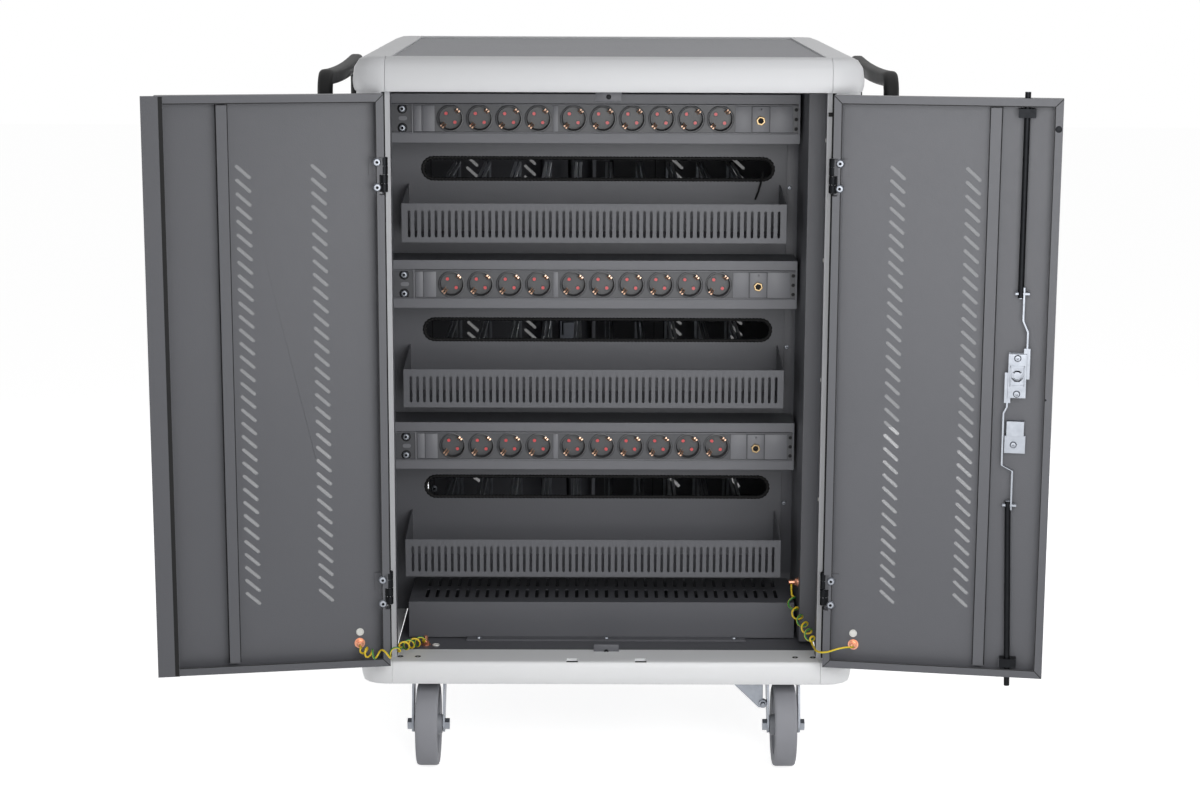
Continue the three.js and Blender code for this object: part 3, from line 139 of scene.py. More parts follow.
def start_finish(name):
    """A new material with an empty tree, and the place on the object that its patterns follow."""
    material = bpy.data.materials.new(name)
    material.use_nodes = True
    tree = material.node_tree
    tree.nodes.clear()
    place = add(tree, "ShaderNodeTexCoord").outputs["Object"]
    return material, tree, place


def end_finish(tree, **inputs):
    """Closes a tree with the shader that all solid finishes use."""
    sockets = {key.replace("_", " ").title().replace("Ior", "IOR"): value for key, value in inputs.items()}
    shader = add(tree, "ShaderNodeBsdfPrincipled", sockets)
    add(tree, "ShaderNodeOutputMaterial", {"Surface": shader.outputs["BSDF"]})


def drift(tree, place, low, high, size_mm, detail=3.0):
    """A value or colour that wanders slowly between two others, as any real coat does."""
    noise = add(tree, "ShaderNodeTexNoise", {"Vector": place, "Scale": per_metre(size_mm), "Detail": detail})
    if isinstance(low, str):
        mix = add(tree, "ShaderNodeMix", {"Factor": noise.outputs["Fac"]}, data_type="RGBA")
        mix.inputs[6].default_value = linear(low)
        mix.inputs[7].default_value = linear(high)
        return mix.outputs[2]
    span = add(tree, "ShaderNodeMapRange", {"Value": noise.outputs["Fac"], "To Min": low, "To Max": high})
    return span.outputs["Result"]


print("white in linear light", linear("#FFFFFF")[:3])

# %% [markdown]
# ## Tools for shapes
# Small hardware is mostly turned, pressed or drawn. So there are four shapes to build with: a plate
# with broken edges, a turned profile, a section drawn along a path, and a slot with round ends.
# Each adds its faces to one mesh, because a strip with ten sockets is one moulding to the eye.

# %% Plates, turned pieces, drawn pieces and slots
def plate(mesh, low, high, edge, paint=0):
    """A block between two corners in metres, with broken edges."""
    low, high = Vector(low), Vector(high)
    size = Matrix.Diagonal((*(high - low), 1))
    made = bmesh.ops.create_cube(mesh, size=1, matrix=Matrix.Translation((low + high) / 2) @ size)
    edges = {side for vert in made["verts"] for side in vert.link_edges}
    faces = {face for vert in made["verts"] for face in vert.link_faces}
    if edge:
        broken = bmesh.ops.bevel(mesh, geom=list(edges), offset=edge, segments=2, profile=0.5, affect="EDGES")
        faces = {face for face in faces if face.is_valid} | set(broken["faces"])
    for face in faces:
        face.material_index = paint


def turned(mesh, place, axis, profile, sides=24, paint=0):
    """A profile of (radius, height) pairs in millimetres, turned about an axis."""
    axis = Vector(axis).normalized()
    across = axis.orthogonal().normalized()
    along = axis.cross(across)
    rings = []
    for radius, height in profile:
        middle = Vector(place) + axis * height * MM
        if radius == 0:
            rings.append([mesh.verts.new(middle)])
            continue
        turns = [math.tau * i / sides for i in range(sides)]
        rings.append([mesh.verts.new(middle + (across * math.cos(t) + along * math.sin(t)) * radius * MM) for t in turns])
    for k, (near, far) in enumerate(zip(rings, rings[1:])):
        colour = paint[k] if isinstance(paint, list) else paint
        for i in range(sides):
            j = (i + 1) % sides
            corners = [near[i % len(near)], near[j % len(near)], far[j % len(far)], far[i % len(far)]]
            face = mesh.faces.new(list(dict.fromkeys(corners)))
            face.material_index = colour


def drawn(mesh, path, section, side=None, closed=False, paint=None):
    """A section of (across, along side) pairs in metres, drawn along a path of points."""
    count = len(path)
    rings = []
    across = None
    for i, point in enumerate(path):
        after = path[(i + 1) % count] if closed or i + 1 < count else point
        before = path[i - 1] if closed or i > 0 else point
        tangent = (after - before).normalized()
        if side is not None:
            across = tangent.cross(side).normalized()
        elif across is None:
            across = tangent.orthogonal().normalized()
        else:
            across = (across - tangent * across.dot(tangent)).normalized()
        flank = side if side is not None else tangent.cross(across)
        outline = section(i) if callable(section) else section
        rings.append([mesh.verts.new(point + across * a + flank * b) for a, b in outline])
    sides = len(rings[0])
    spans = list(zip(rings, rings[1:])) + ([(rings[-1], rings[0])] if closed else [])
    for k, (near, far) in enumerate(spans):
        for i in range(sides):
            face = mesh.faces.new([near[i], near[(i + 1) % sides], far[(i + 1) % sides], far[i]])
            face.material_index = paint(k, i) if paint else 0
    if not closed:
        mesh.faces.new(rings[0])
        mesh.faces.new(rings[-1])


def round_section(radius, sides):
    """A circle of that radius as a section."""
    return [(radius * math.cos(math.tau * i / sides), radius * math.sin(math.tau * i / sides)) for i in range(sides)]


def rounded_section(width, height, radius, steps=4):
    """A rectangle with round corners as a section in metres."""
    outline = []
    for sx, sy, start in ((1, 1, 0), (-1, 1, 90), (-1, -1, 180), (1, -1, 270)):
        for i in range(steps + 1):
            turn = math.radians(start + 90 * i / steps)
            outline.append(((sx * (width / 2 - radius) + radius * math.cos(turn)) * MM,
                            (sy * (height / 2 - radius) + radius * math.sin(turn)) * MM))
    return outline


def slot_bar(mesh, middle, along, through, length, width, depth, steps=5):
    """A bar with round ends: the tool that punches a slot."""
    along, through = Vector(along).normalized(), Vector(through).normalized()
    across = through.cross(along)
    reach = (length - width) / 2
    outline = []
    for end in (1, -1):
        for i in range(steps + 1):
            turn = math.pi * (i / steps - 0.5)
            outline.append(along * end * (reach + math.cos(turn) * width / 2) + across * end * math.sin(turn) * width / 2)
    near = [mesh.verts.new(middle + point - through * depth / 2) for point in outline]
    far = [mesh.verts.new(middle + point + through * depth / 2) for point in outline]
    mesh.faces.new(near)
    mesh.faces.new(far)
    for i in range(len(outline)):
        j = (i + 1) % len(outline)
        mesh.faces.new([near[i], near[j], far[j], far[i]])


SMOOTH_DEG = 38


def settle(mesh, name, finishes):
    """Turns built faces into mesh data with smooth curves, sharp corners and finishes."""
    bmesh.ops.recalc_face_normals(mesh, faces=mesh.faces)
    data = bpy.data.meshes.new(name)
    mesh.to_mesh(data)
    mesh.free()
    data.shade_smooth()
    data.set_sharp_from_angle(angle=math.radians(SMOOTH_DEG))
    for finish in finishes:
        data.materials.append(finish)
    return data


def piece(mesh, name, slot, *finishes, body="chassis"):
    """A new piece of the cart that rides on a body."""
    made = bpy.data.objects.new(name, settle(mesh, name, finishes))
    scene.collection.objects.link(made)
    if body:
        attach(made, body)
    return made


print("shape tools ready")

# %% [markdown]
# ## The earth wires
# Each front door is earthed by a curly wire, because paint keeps the hinges from conducting. It is a
# stranded copper wire in green and yellow PVC, wound warm round a mandrel so that it springs back.
# A curve with a bevel could make it, but then the two colours would need a texture. Drawing the tube
# by hand lets each face along the wire have its own colour, and gives the exact route to measure.

# %% PVC insulation
PVC_GRAIN_MM = 3.0


def pvc_insulation(name, code, worn):
    """Extruded soft PVC: even colour, a waxy sheen, and faint handling marks."""
    material, tree, place = start_finish(name)
    end_finish(tree, base_color=drift(tree, place, code, worn, PVC_GRAIN_MM), ior=1.53,
               roughness=drift(tree, place, 0.32, 0.45, PVC_GRAIN_MM), specular_ior_level=0.5)
    return material


pvc_yellow = pvc_insulation("pvc_insulation_yellow", "#E9CB2A", "#DDBB1E")
pvc_green = pvc_insulation("pvc_insulation_green", "#3E8F3A", "#357F3C")
print("made", pvc_yellow.name, pvc_green.name)

# %% Curly wires
HINGE_X = 323.5
FLOOR_PANEL_Z = 168
WIRE_MM = 3.0
WIRE_SIDES = 10
WIRE_GREEN_SIDES = 3
COIL_OUTER_MM = 15.8
COIL_PITCH_MM = 24.0
COIL_POINTS = 28
TIGHT_SHARE = 0.45
SWELL_MM = 9.0
LEFT_WIRE_ROUTE = [
    (42.2, -27, 38.5), (38, -35, 35.5), (28, -41, 32), (15.5, -43, 30.5), (4, -41, 30.5), (-5.5, -36.4, 30.5),
    (-12.1, -26.6, 30), (-14.2, -12, 28.5), (-16.2, 4, 27), (-20, 22, 24.5), (-25, 41, 21), (-31, 62, 17),
    (-38, 84, 12.5), (-45, 106, 9.5),
]
RIGHT_WIRE_ROUTE = [
    (42.2, -27, 39.5), (38, -35, 41), (28.5, -41, 42.5), (16.5, -43, 40.5), (4.5, -41, 36), (-5.5, -36.4, 33.5),
    (-12.1, -26.6, 33), (-14.2, -12, 33.5), (-16.2, 4, 35.5), (-17.5, 24, 39), (-19.5, 44, 42.5), (-23, 64, 46),
    (-27.5, 82, 49.5), (-32.7, 102, 54.5), (-36.3, 120, 63), (-37, 134, 77), (-37, 141.5, 89),
]


def wire_points(route, side):
    """A route told from the hinge axis, back from the rails and up from the floor panel, on the cart."""
    return [at(side * (HINGE_X + beside), depth, FLOOR_PANEL_Z + rise) for beside, depth, rise in route]


def smooth_route(points, steps=24):
    """Many points on one smooth curve through a few."""
    route = []
    ends = [points[0] * 2 - points[1]] + points + [points[-1] * 2 - points[-2]]
    for a, b, c, d in zip(ends, ends[1:], ends[2:], ends[3:]):
        for i in range(steps):
            t = i / steps
            route.append((b * 2 + (c - a) * t + (a * 2 - b * 5 + c * 4 - d) * t ** 2
                          + (b * 3 - a - c * 3 + d) * t ** 3) / 2)
    return route + [points[-1]]


def curly(points, straight_start, bare, straight_end, tight):
    """A helix round a route, tighter at first and straight at both ends and along a bare stretch."""
    route = smooth_route(points)
    reach = [0.0]
    for a, b in zip(route, route[1:]):
        reach.append(reach[-1] + (b - a).length)
    total = reach[-1]
    step = COIL_PITCH_MM * MM / COIL_POINTS
    helix, across, k, turn = [], None, 0, 0.0
    for n in range(int(total / step) + 1):
        run = n * step
        while k < len(reach) - 2 and reach[k + 1] < run:
            k += 1
        part = (run - reach[k]) / (reach[k + 1] - reach[k])
        point = route[k].lerp(route[k + 1], part)
        tangent = (route[min(k + 2, len(route) - 1)] - route[max(k - 1, 0)]).normalized()
        across = tangent.orthogonal() if across is None else across - tangent * across.dot(tangent)
        across.normalize()
        flank = tangent.cross(across)
        nearest = min(run - straight_start * MM, max(bare[0] * MM - run, run - bare[1] * MM),
                      total - run - straight_end * MM)
        swell = min(max(nearest / (SWELL_MM * MM), 0), 1)
        swell = swell * swell * (3 - 2 * swell)
        radius = (COIL_OUTER_MM - WIRE_MM) / 2 * MM * swell
        turn += math.tau / COIL_POINTS / (TIGHT_SHARE if run < tight * MM else 1)
        helix.append(point + (across * math.cos(turn) + flank * math.sin(turn)) * radius)
    return helix


def wire_colour(ring, column):
    """Green along three sides of the wire and yellow along the rest."""
    return 1 if column < WIRE_GREEN_SIDES else 0


def earth_wire(name, node, points, straight_start, bare, straight_end, tight):
    """One curly wire from its door stud to its stud in the cabinet."""
    path = curly(points, straight_start, bare, straight_end, tight)
    mesh = bmesh.new()
    drawn(mesh, path, round_section(WIRE_MM / 2 * MM, WIRE_SIDES), paint=wire_colour)
    made = piece(mesh, name, "wire_jacket", pvc_yellow, pvc_green, body=None)
    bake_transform(made)
    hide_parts(node)


earth_wire("left_curly_wire", "left_earth_wire", wire_points(LEFT_WIRE_ROUTE, -1), 4, (78, 102), 8, 34)
earth_wire("right_curly_wire", "right_earth_wire", wire_points(RIGHT_WIRE_ROUTE, 1), 0, (0, 104), 16, 0)

# %% [markdown]
# ## Painted steel
# The frame and the sheets are steel with baked polyester powder. Powder melts into a coat with a
# faint orange peel a few millimetres wide, and a fine texture powder adds a grain of half a
# millimetre. That grain is too fine for this picture, so it is drawn at nearly two millimetres. The
# coat is a dielectric over colour, so it is not metallic, and its roughness tells satin from matt.

# %% Powder coats
PEEL_MM = 5.0
SATIN_GRAIN_MM = 1.8
TEXTURE_GRAIN_MM = 1.6
BATCH_DRIFT_MM = 260.0


def powder_coat(name, code, shade, grain_mm, grain_lift, roughness):
    """Baked polyester powder: soft wide highlights broken by peel and grain."""
    material, tree, place = start_finish(name)
    peel = add(tree, "ShaderNodeTexNoise", {"Vector": place, "Scale": per_metre(PEEL_MM), "Detail": 1.0})
    wide = add(tree, "ShaderNodeBump", {"Height": peel.outputs["Fac"], "Strength": 0.05, "Distance": MM})
    grain = add(tree, "ShaderNodeTexNoise", {"Vector": place, "Scale": per_metre(grain_mm), "Detail": 2.0})
    fine = add(tree, "ShaderNodeBump", {"Height": grain.outputs["Fac"], "Strength": grain_lift, "Distance": MM,
                                        "Normal": wide.outputs["Normal"]})
    end_finish(tree, base_color=drift(tree, place, code, shade, BATCH_DRIFT_MM), ior=1.5, normal=fine.outputs["Normal"],
               roughness=drift(tree, place, roughness - 0.05, roughness + 0.05, grain_mm * 6))
    return material


rail_paint = powder_coat("powder_coat_light_grey", "#D8D9DB", "#D1D2D5", SATIN_GRAIN_MM, 0.03, 0.46)
cabinet_paint = powder_coat("powder_coat_anthracite", "#5C5D62", "#55565B", TEXTURE_GRAIN_MM, 0.14, 0.48)
# A paler copy of the rail paint for the base frame and the post feet: painted light, as if more light fell on the
# bottom of the frame.
lit_rail_paint = powder_coat("powder_coat_light_grey_painted_light", "#F1F2F3", "#EAEBED", SATIN_GRAIN_MM, 0.03, 0.46)
# A darker copy of the rail paint for the doorway's rebate face: painted shade, where the doors shade the rail.
shaded_rail_paint = powder_coat("powder_coat_light_grey_painted_shade", "#C4C5C8", "#BBBCBF", SATIN_GRAIN_MM, 0.03, 0.5)
# A lighter copy of the anthracite for the strip channels: painted light, for the light that reaches them inside the top
# of the cabinet.
lit_channel_paint = powder_coat("powder_coat_anthracite_channel_painted_light", "#6E6F74", "#67686D", TEXTURE_GRAIN_MM, 0.14, 0.48)
# The top panel's anthracite: its coarser grain and matt are the panel's own, and its colour is lighter than the
# cabinet's as painted light for the light on the top.
lit_top_paint = powder_coat("powder_coat_anthracite_top_painted_light", "#86878C", "#7E7F84", TEXTURE_GRAIN_MM, 0.22, 0.58)
print("made", rail_paint.name, lit_rail_paint.name, cabinet_paint.name, shaded_rail_paint.name, lit_channel_paint.name,
      lit_top_paint.name)

# %% [markdown]
# ## Plastics and rubber
# The power strips are black ABS, the sockets polycarbonate, the handles glass-filled nylon and the
# tyres grey thermoplastic rubber. All are moulded in spark-eroded tools, which leave a grain of a
# few tenths of a millimetre. It is drawn at about a millimetre so that it breaks up the highlights.

# %% Moulded plastics
MOULD_GRAIN_MM = 1.1
FLOW_DRIFT_MM = 40.0


def moulded(name, code, shade, roughness, lift=0.06, ior=1.5):
    """A moulding: even colour, fine tool grain, and soft flow marks in the gloss."""
    material, tree, place = start_finish(name)
    grain = add(tree, "ShaderNodeTexNoise", {"Vector": place, "Scale": per_metre(MOULD_GRAIN_MM), "Detail": 2.0})
    bump = add(tree, "ShaderNodeBump", {"Height": grain.outputs["Fac"], "Strength": lift, "Distance": MM})
    end_finish(tree, base_color=drift(tree, place, code, shade, FLOW_DRIFT_MM), ior=ior, normal=bump.outputs["Normal"],
               roughness=drift(tree, place, roughness - 0.06, roughness + 0.06, FLOW_DRIFT_MM))
    return material


strip_abs = moulded("abs_black", "#47484C", "#404145", 0.45, ior=1.54)
blank_abs = moulded("abs_dark_grey", "#74757A", "#6D6E73", 0.45, ior=1.54)
socket_pc = moulded("polycarbonate_black", "#343538", "#3A3B3E", 0.42, lift=0.1, ior=1.58)
shutter_red = moulded("polycarbonate_red", "#E0484B", "#D23E43", 0.35, lift=0.02, ior=1.58)
handle_nylon = moulded("glass_filled_nylon_black", "#0D0D0E", "#111112", 0.6, lift=0.12, ior=1.36)
washer_nylon = moulded("nylon_white", "#E6E6E2", "#DCDCD8", 0.45, ior=1.53)
tyre_rubber = moulded("thermoplastic_rubber_grey", "#97989E", "#8E8F95", 0.72, lift=0.1, ior=1.52)
hub_plastic = moulded("polypropylene_grey", "#8D8F95", "#84868C", 0.5, ior=1.49)
# Black EPDM rubber for the slot edging and the cable tie; its black also serves as painted shade in dark lines, bands,
# holes and screw sockets.
black_rubber_and_shade = moulded("epdm_rubber_black_and_painted_shade", "#121213", "#171718", 0.7, ior=1.38)
print("made nine mouldings")

# %% [markdown]
# ## Bare metals
# The lock, the casters and the screws are steel with bright zinc, which is bluish and slightly
# cloudy because the crystals of the plating scatter light. Studs and nuts for the earth wires are
# copper and brass, because they have to conduct. Metals keep the default IOR: their colour and a
# metallic value of one give the reflection.

# %% Zinc, copper and brass
CLOUD_MM = 9.0
SCRATCH_MM = 1.4


def plated(name, code, shade, roughness):
    """A plated or drawn metal: clouded gloss with fine random scratches."""
    material, tree, place = start_finish(name)
    scratch = add(tree, "ShaderNodeTexNoise", {"Vector": place, "Scale": per_metre(SCRATCH_MM), "Detail": 4.0})
    bump = add(tree, "ShaderNodeBump", {"Height": scratch.outputs["Fac"], "Strength": 0.05, "Distance": MM})
    end_finish(tree, base_color=drift(tree, place, code, shade, CLOUD_MM), metallic=1.0, normal=bump.outputs["Normal"],
               roughness=drift(tree, place, roughness - 0.08, roughness + 0.1, CLOUD_MM))
    return material


zinc = plated("zinc_plated_steel", "#9A9EA5", "#888C93", 0.42)
# Black oxide steel for hinges, guides, sleeves and screws; its black also serves as painted shade in screw sockets and
# a hole in the lip.
black_steel_and_shade = plated("black_oxide_steel_and_painted_shade", "#242527", "#1C1D1F", 0.45)
copper = plated("copper", "#E9AC90", "#DC9A7C", 0.36)
bronze = plated("phosphor_bronze", "#F4D2BC", "#E8BE9F", 0.45)
brass = plated("brass", "#B59E7A", "#A08965", 0.34)
print("made", zinc.name, black_steel_and_shade.name, copper.name, bronze.name, brass.name)

# %% [markdown]
# ## Dressing the solids
# Real edges are never sharp: sheet is folded with a small radius, and paint rounds what is left. A
# bevel on every edge catches the light as the real one does. The solids stay as they are, and a
# short stack of modifiers welds them, breaks their edges and evens out the shading.

# %% Finish of every solid
FINISHES = {
    "bottom_rail": lit_rail_paint, "rail": rail_paint, "corner_post": rail_paint, "top_panel": lit_top_paint,
    "bracket_channel": lit_channel_paint,
    "power_strip": strip_abs, "lock_case": zinc, "lock_spindle": zinc, "lock_lever": handle_nylon,
    "_rod": zinc, "fork": zinc, "brake_pedal": zinc, "wheel": tyre_rubber, "handle": handle_nylon,
}
EDGE_MM = {"rail": 0.8, "corner_post": 0.6, "lock_lever": 2.2, "fork": 0.8, "brake_pedal": 0.6, "top_panel": 0.6,
           "power_strip": 0.6}
DEFAULT_EDGE_MM = 0.4
EDGE_ANGLE_DEG = 40
WELD_MM = 0.02

weld = bpy.data.node_groups.new("weld_and_smooth", "GeometryNodeTree")
weld.interface.new_socket("Geometry", in_out="INPUT", socket_type="NodeSocketGeometry")
weld.interface.new_socket("Geometry", in_out="OUTPUT", socket_type="NodeSocketGeometry")
raw = add(weld, "NodeGroupInput").outputs[0]
merged = add(weld, "GeometryNodeMergeByDistance", {"Geometry": raw, "Distance": WELD_MM * MM}).outputs[0]
smoothed = add(weld, "GeometryNodeSetShadeSmooth", {"Geometry": merged, "Shade Smooth": True}).outputs[0]
add(weld, "NodeGroupOutput", {0: smoothed})


def pick(table, node, otherwise):
    """The first entry whose key is in the node's name."""
    return next((value for key, value in table.items() if key in node), otherwise)


def dress(thing, edge_mm):
    """Welds a solid, breaks its edges and evens its shading, without touching its mesh."""
    thing.modifiers.new("weld", "NODES").node_group = weld
    bevel = thing.modifiers.new("broken_edges", "BEVEL")
    bevel.width = edge_mm * MM
    bevel.segments = 2
    bevel.limit_method = "ANGLE"
    bevel.angle_limit = math.radians(EDGE_ANGLE_DEG)
    thing.modifiers.new("even_shading", "WEIGHTED_NORMAL")


for node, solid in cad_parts.items():
    solid.data.materials.clear()
    solid.data.materials.append(pick(FINISHES, node, cabinet_paint))
    dress(solid, pick(EDGE_MM, node, DEFAULT_EDGE_MM))
print("dressed", len(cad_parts), "solids")

# %% [markdown]
# ## Slots
# The doors breathe through slanted slots, and the trays and the base cover have rows of slots for
# air and cable ties. They are punched with round-ended tools. A copy of each solid is cut by all its
# tools in one go and stands for the solid, so the sheet really is open and light shines through.

# %% Punching
PUNCH_DEPTH_MM = 8


def punched(node, body, tools):
    """A copy of a solid with its slots cut, which stands for it."""
    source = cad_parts[node]
    made = bpy.data.objects.new(node + "_punched", source.data.copy())
    scene.collection.objects.link(made)
    cutter = bpy.data.objects.new(node + "_tools", settle(tools, node + "_tools", []))
    scene.collection.objects.link(cutter)
    made.modifiers.new("weld", "NODES").node_group = weld
    cut = made.modifiers.new("slots", "BOOLEAN")
    cut.operation = "DIFFERENCE"
    cut.solver = "EXACT"
    cut.object = cutter
    shape = bpy.data.meshes.new_from_object(made.evaluated_get(bpy.context.evaluated_depsgraph_get()))
    made.modifiers.clear()
    made.data = shape
    bpy.data.objects.remove(cutter)
    dress(made, DEFAULT_EDGE_MM / 2)
    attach(made, body)
    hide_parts(node)
    print(made.name, "faces", len(shape.polygons))


# %% Door vents
HINGE_Y = -3
OPEN_DEG = 170
AJAR_DEG = 20
VENT_COLUMNS = (93, 200)
VENT_ROWS = 33
VENT_PITCH = 19.6
VENT_MIDDLE_Z = 597
VENT_LENGTH = 29
VENT_WIDTH = 5.2
VENT_TILT_DEG = 42
SKIN_DEPTH = 3.75
LEAVES = {
    "front_door_left": ("front_left_leaf", -HINGE_X, HINGE_Y, -OPEN_DEG, 1),
    "front_door_right": ("front_right_leaf", HINGE_X, HINGE_Y, OPEN_DEG, -1),
    "rear_door_right": ("rear_right_leaf", HINGE_X, CART_DEPTH - HINGE_Y, 180, 1),
    "rear_door_left": ("rear_left_leaf", -HINGE_X, CART_DEPTH - HINGE_Y, 180 + AJAR_DEG, -1),
}


class Leaf:
    """A door at rest: places on it are measured from its hinge, into its depth, and up."""

    def __init__(self, node):
        self.body, x, y, turn, self.hand = LEAVES[node]
        self.frame = Matrix.Translation(at(x, y, 0)) @ Matrix.Rotation(math.radians(turn), 4, "Z")

    def at(self, u, depth, z):
        return self.frame @ (Vector((self.hand * u, depth, z)) * MM)

    def way(self, u, depth, z):
        return self.frame.to_3x3() @ Vector((self.hand * u, depth, z))


for node in LEAVES:
    leaf = Leaf(node)
    tools = bmesh.new()
    slant = leaf.way(leaf.hand * math.cos(math.radians(VENT_TILT_DEG)), 0, math.sin(math.radians(VENT_TILT_DEG)))
    for column in VENT_COLUMNS:
        for row in range(VENT_ROWS):
            height = VENT_MIDDLE_Z + (row - (VENT_ROWS - 1) / 2) * VENT_PITCH
            slot_bar(tools, leaf.at(column, SKIN_DEPTH, height), slant, leaf.way(0, 1, 0),
                     VENT_LENGTH * MM, VENT_WIDTH * MM, PUNCH_DEPTH_MM * MM)
    punched(node, leaf.body, tools)

# %% [markdown]
# ## Dust mesh
# The door slots show grey against a white ground, so a fine polyester mesh lies in the skin behind
# them. Its threads are half a millimetre apart, which is too fine to draw. So each column gets one
# thin sheet, and alpha tells how much of it is thread.

# %% Mesh behind the vents
MESH_THREAD_SHARE = 0.62
MESH_DEPTH = 3.3
MESH_WIDTH = 30
MESH_HALF_HEIGHT = 328
MESH_THICK = 0.3

vent_mesh, tree, place = start_finish("polyester_mesh_grey")
end_finish(tree, base_color=drift(tree, place, "#8E9094", "#84868A", FLOW_DRIFT_MM), roughness=0.85, ior=1.5,
           alpha=MESH_THREAD_SHARE)
for node in LEAVES:
    leaf = Leaf(node)
    mesh = bmesh.new()
    for column in VENT_COLUMNS:
        ends = [leaf.at(column, MESH_DEPTH, VENT_MIDDLE_Z + side * MESH_HALF_HEIGHT) for side in (-1, 1)]
        drawn(mesh, ends, rounded_section(MESH_THICK, MESH_WIDTH, 0.1, steps=1), side=leaf.way(1, 0, 0))
    piece(mesh, node + "_dust_mesh", "black_plastic", vent_mesh, body=leaf.body)
print("mesh laid behind the vents")

# %% Tray and base cover slots
TIERS = ("upper", "middle", "lower")
TRAY_Y = 155.75
TRAY_SLOTS = 56
TRAY_SLOT_PITCH = 10.15
TRAY_SLOT_WIDTH = 4.3
TRAY_SLOT_HEIGHT = 41
TRAY_SLOT_RISE = 28
COVER_ROWS = (195, 260)
COVER_SLOTS = 36
COVER_SLOT_PITCH = 15.6
COVER_SLOT_WIDTH = 5.4
COVER_SLOT_LENGTH = 48

RIGHT, BACK, UP = Vector((1, 0, 0)), Vector((0, 1, 0)), Vector((0, 0, 1))


def spread(count, pitch):
    """Places of a row about its middle."""
    return [(i - (count - 1) / 2) * pitch for i in range(count)]


for tier in TIERS:
    low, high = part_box(tier + "_adapter_tray")
    tools = bmesh.new()
    for x in spread(TRAY_SLOTS, TRAY_SLOT_PITCH):
        middle = Vector(((low.x + high.x) / 2 + x * MM, at(0, TRAY_Y, 0).y, low.z + TRAY_SLOT_RISE * MM))
        slot_bar(tools, middle, UP, BACK, TRAY_SLOT_HEIGHT * MM, TRAY_SLOT_WIDTH * MM, PUNCH_DEPTH_MM * MM)
    punched(tier + "_adapter_tray", "chassis", tools)

low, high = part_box("base_cover")
tools = bmesh.new()
for row in COVER_ROWS:
    for x in spread(COVER_SLOTS, COVER_SLOT_PITCH):
        middle = Vector(((low.x + high.x) / 2 + x * MM, at(0, row, 0).y, high.z))
        slot_bar(tools, middle, BACK, UP, COVER_SLOT_LENGTH * MM, COVER_SLOT_WIDTH * MM, PUNCH_DEPTH_MM * MM)
punched("base_cover", "chassis", tools)

# %% [markdown]
# ## Power strips
# Each strip is a black channel with ten round sockets, clipped-in blank plates and a fuse holder. A
# socket is a cup with a rolled rim, and set at 45 degrees it shows two red shutters behind the pin
# holes and two springy earth clips at the wall. All ten are one mesh with three finishes.

# %% Sockets
STRIP_FACE_Y = 205.2
STRIP_LEVELS = {"upper": 969, "middle": 715, "lower": 461}
SOCKET_PITCH = 44.6
SOCKET_GROUPS = ((-239.5, 4), (-52, 6))
RIM_RADIUS = 20.8
CUP_RADIUS = 17.6
CUP_WALL_RADIUS = 18.4
CUP_DEPTH = 11
PIN_SPREAD = 9.5
PIN_RADIUS = 2.6
CLIP_RADIUS = 16.4
CLIP_HALF = 3.2
FORWARD = Vector((0, -1, 0))


def socket(mesh, middle):
    """One socket: rim, cup, pin holes with red shutters, and earth clips."""
    turned(mesh, middle, FORWARD, [
        (0, -CUP_DEPTH), (CUP_RADIUS - 1, -CUP_DEPTH), (CUP_RADIUS, -CUP_DEPTH + 1), (CUP_RADIUS + 0.2, 0.4),
        (CUP_RADIUS + 0.8, 1.1), (RIM_RADIUS - 0.8, 1.1), (RIM_RADIUS, 0.5), (RIM_RADIUS, 0.1),
        (CUP_WALL_RADIUS, 0.05), (CUP_WALL_RADIUS, -CUP_DEPTH - 1), (0, -CUP_DEPTH - 1)], sides=40)
    floor = middle - FORWARD * CUP_DEPTH * MM
    for side in (-1, 1):
        hole = floor + (RIGHT * side - UP * side) * PIN_SPREAD * math.sqrt(0.5) * MM
        turned(mesh, hole, FORWARD, [(0, 0.5), (PIN_RADIUS, 0.5), (PIN_RADIUS, 0.1)], sides=16, paint=1)
        turned(mesh, hole, FORWARD, [(PIN_RADIUS, 0.1), (PIN_RADIUS, 0.8), (PIN_RADIUS + 1, 0.8), (PIN_RADIUS + 1.3, 0.05)],
               sides=16)
        out = (RIGHT * side + UP * side) * math.sqrt(0.5)
        flank = out.cross(FORWARD)
        bows = ((-CUP_DEPTH, 4.5), (-7, 4.2), (-3, 2.6), (0.6, 1.2), (1.6, 0.2), (0.9, -2.2))
        blade = [middle + (out * (CLIP_RADIUS - bow) + FORWARD * rise) * MM for rise, bow in bows]
        for edge in (-1, 1):
            finger = [point + flank * edge * CLIP_HALF * 0.62 * MM for point in blade]
            drawn(mesh, finger, rounded_section(1.0, CLIP_HALF * 0.8, 0.3, steps=1), side=flank, paint=lambda ring, column: 2)


for tier in TIERS:
    mesh = bmesh.new()
    for first, count in SOCKET_GROUPS:
        for i in range(count):
            socket(mesh, at(first + i * SOCKET_PITCH, STRIP_FACE_Y, STRIP_LEVELS[tier]))
    piece(mesh, tier + "_sockets", "strip_plastic", socket_pc, shutter_red, bronze)
print("sockets made for", TIERS)

# %% [markdown]
# ## Strip fittings and screws
# Blank plates close the gaps between the sockets, a fuse holder with a brass nut sits at the right
# end, and two bright screws hold each strip's left ear. A screw head is a turned profile with a socket
# in it, and painted shade darkens its floor and wall: the small dark centre that the eye expects.

# %% Blanks, fuse holders and strip screws
STRIP_HALF = 22.2
BLANKS = ((-294.5, -283), (-282, -263), (-83, -75.5), (193.5, 217.5), (246.5, 281))
FUSE_MODULE = (219, 245.5)
FUSE_X = 232
EAR_X = -312
EAR_SCREW_Z = 14.5
EAR_EDGE_X = -297
END_HOLE_X = 286


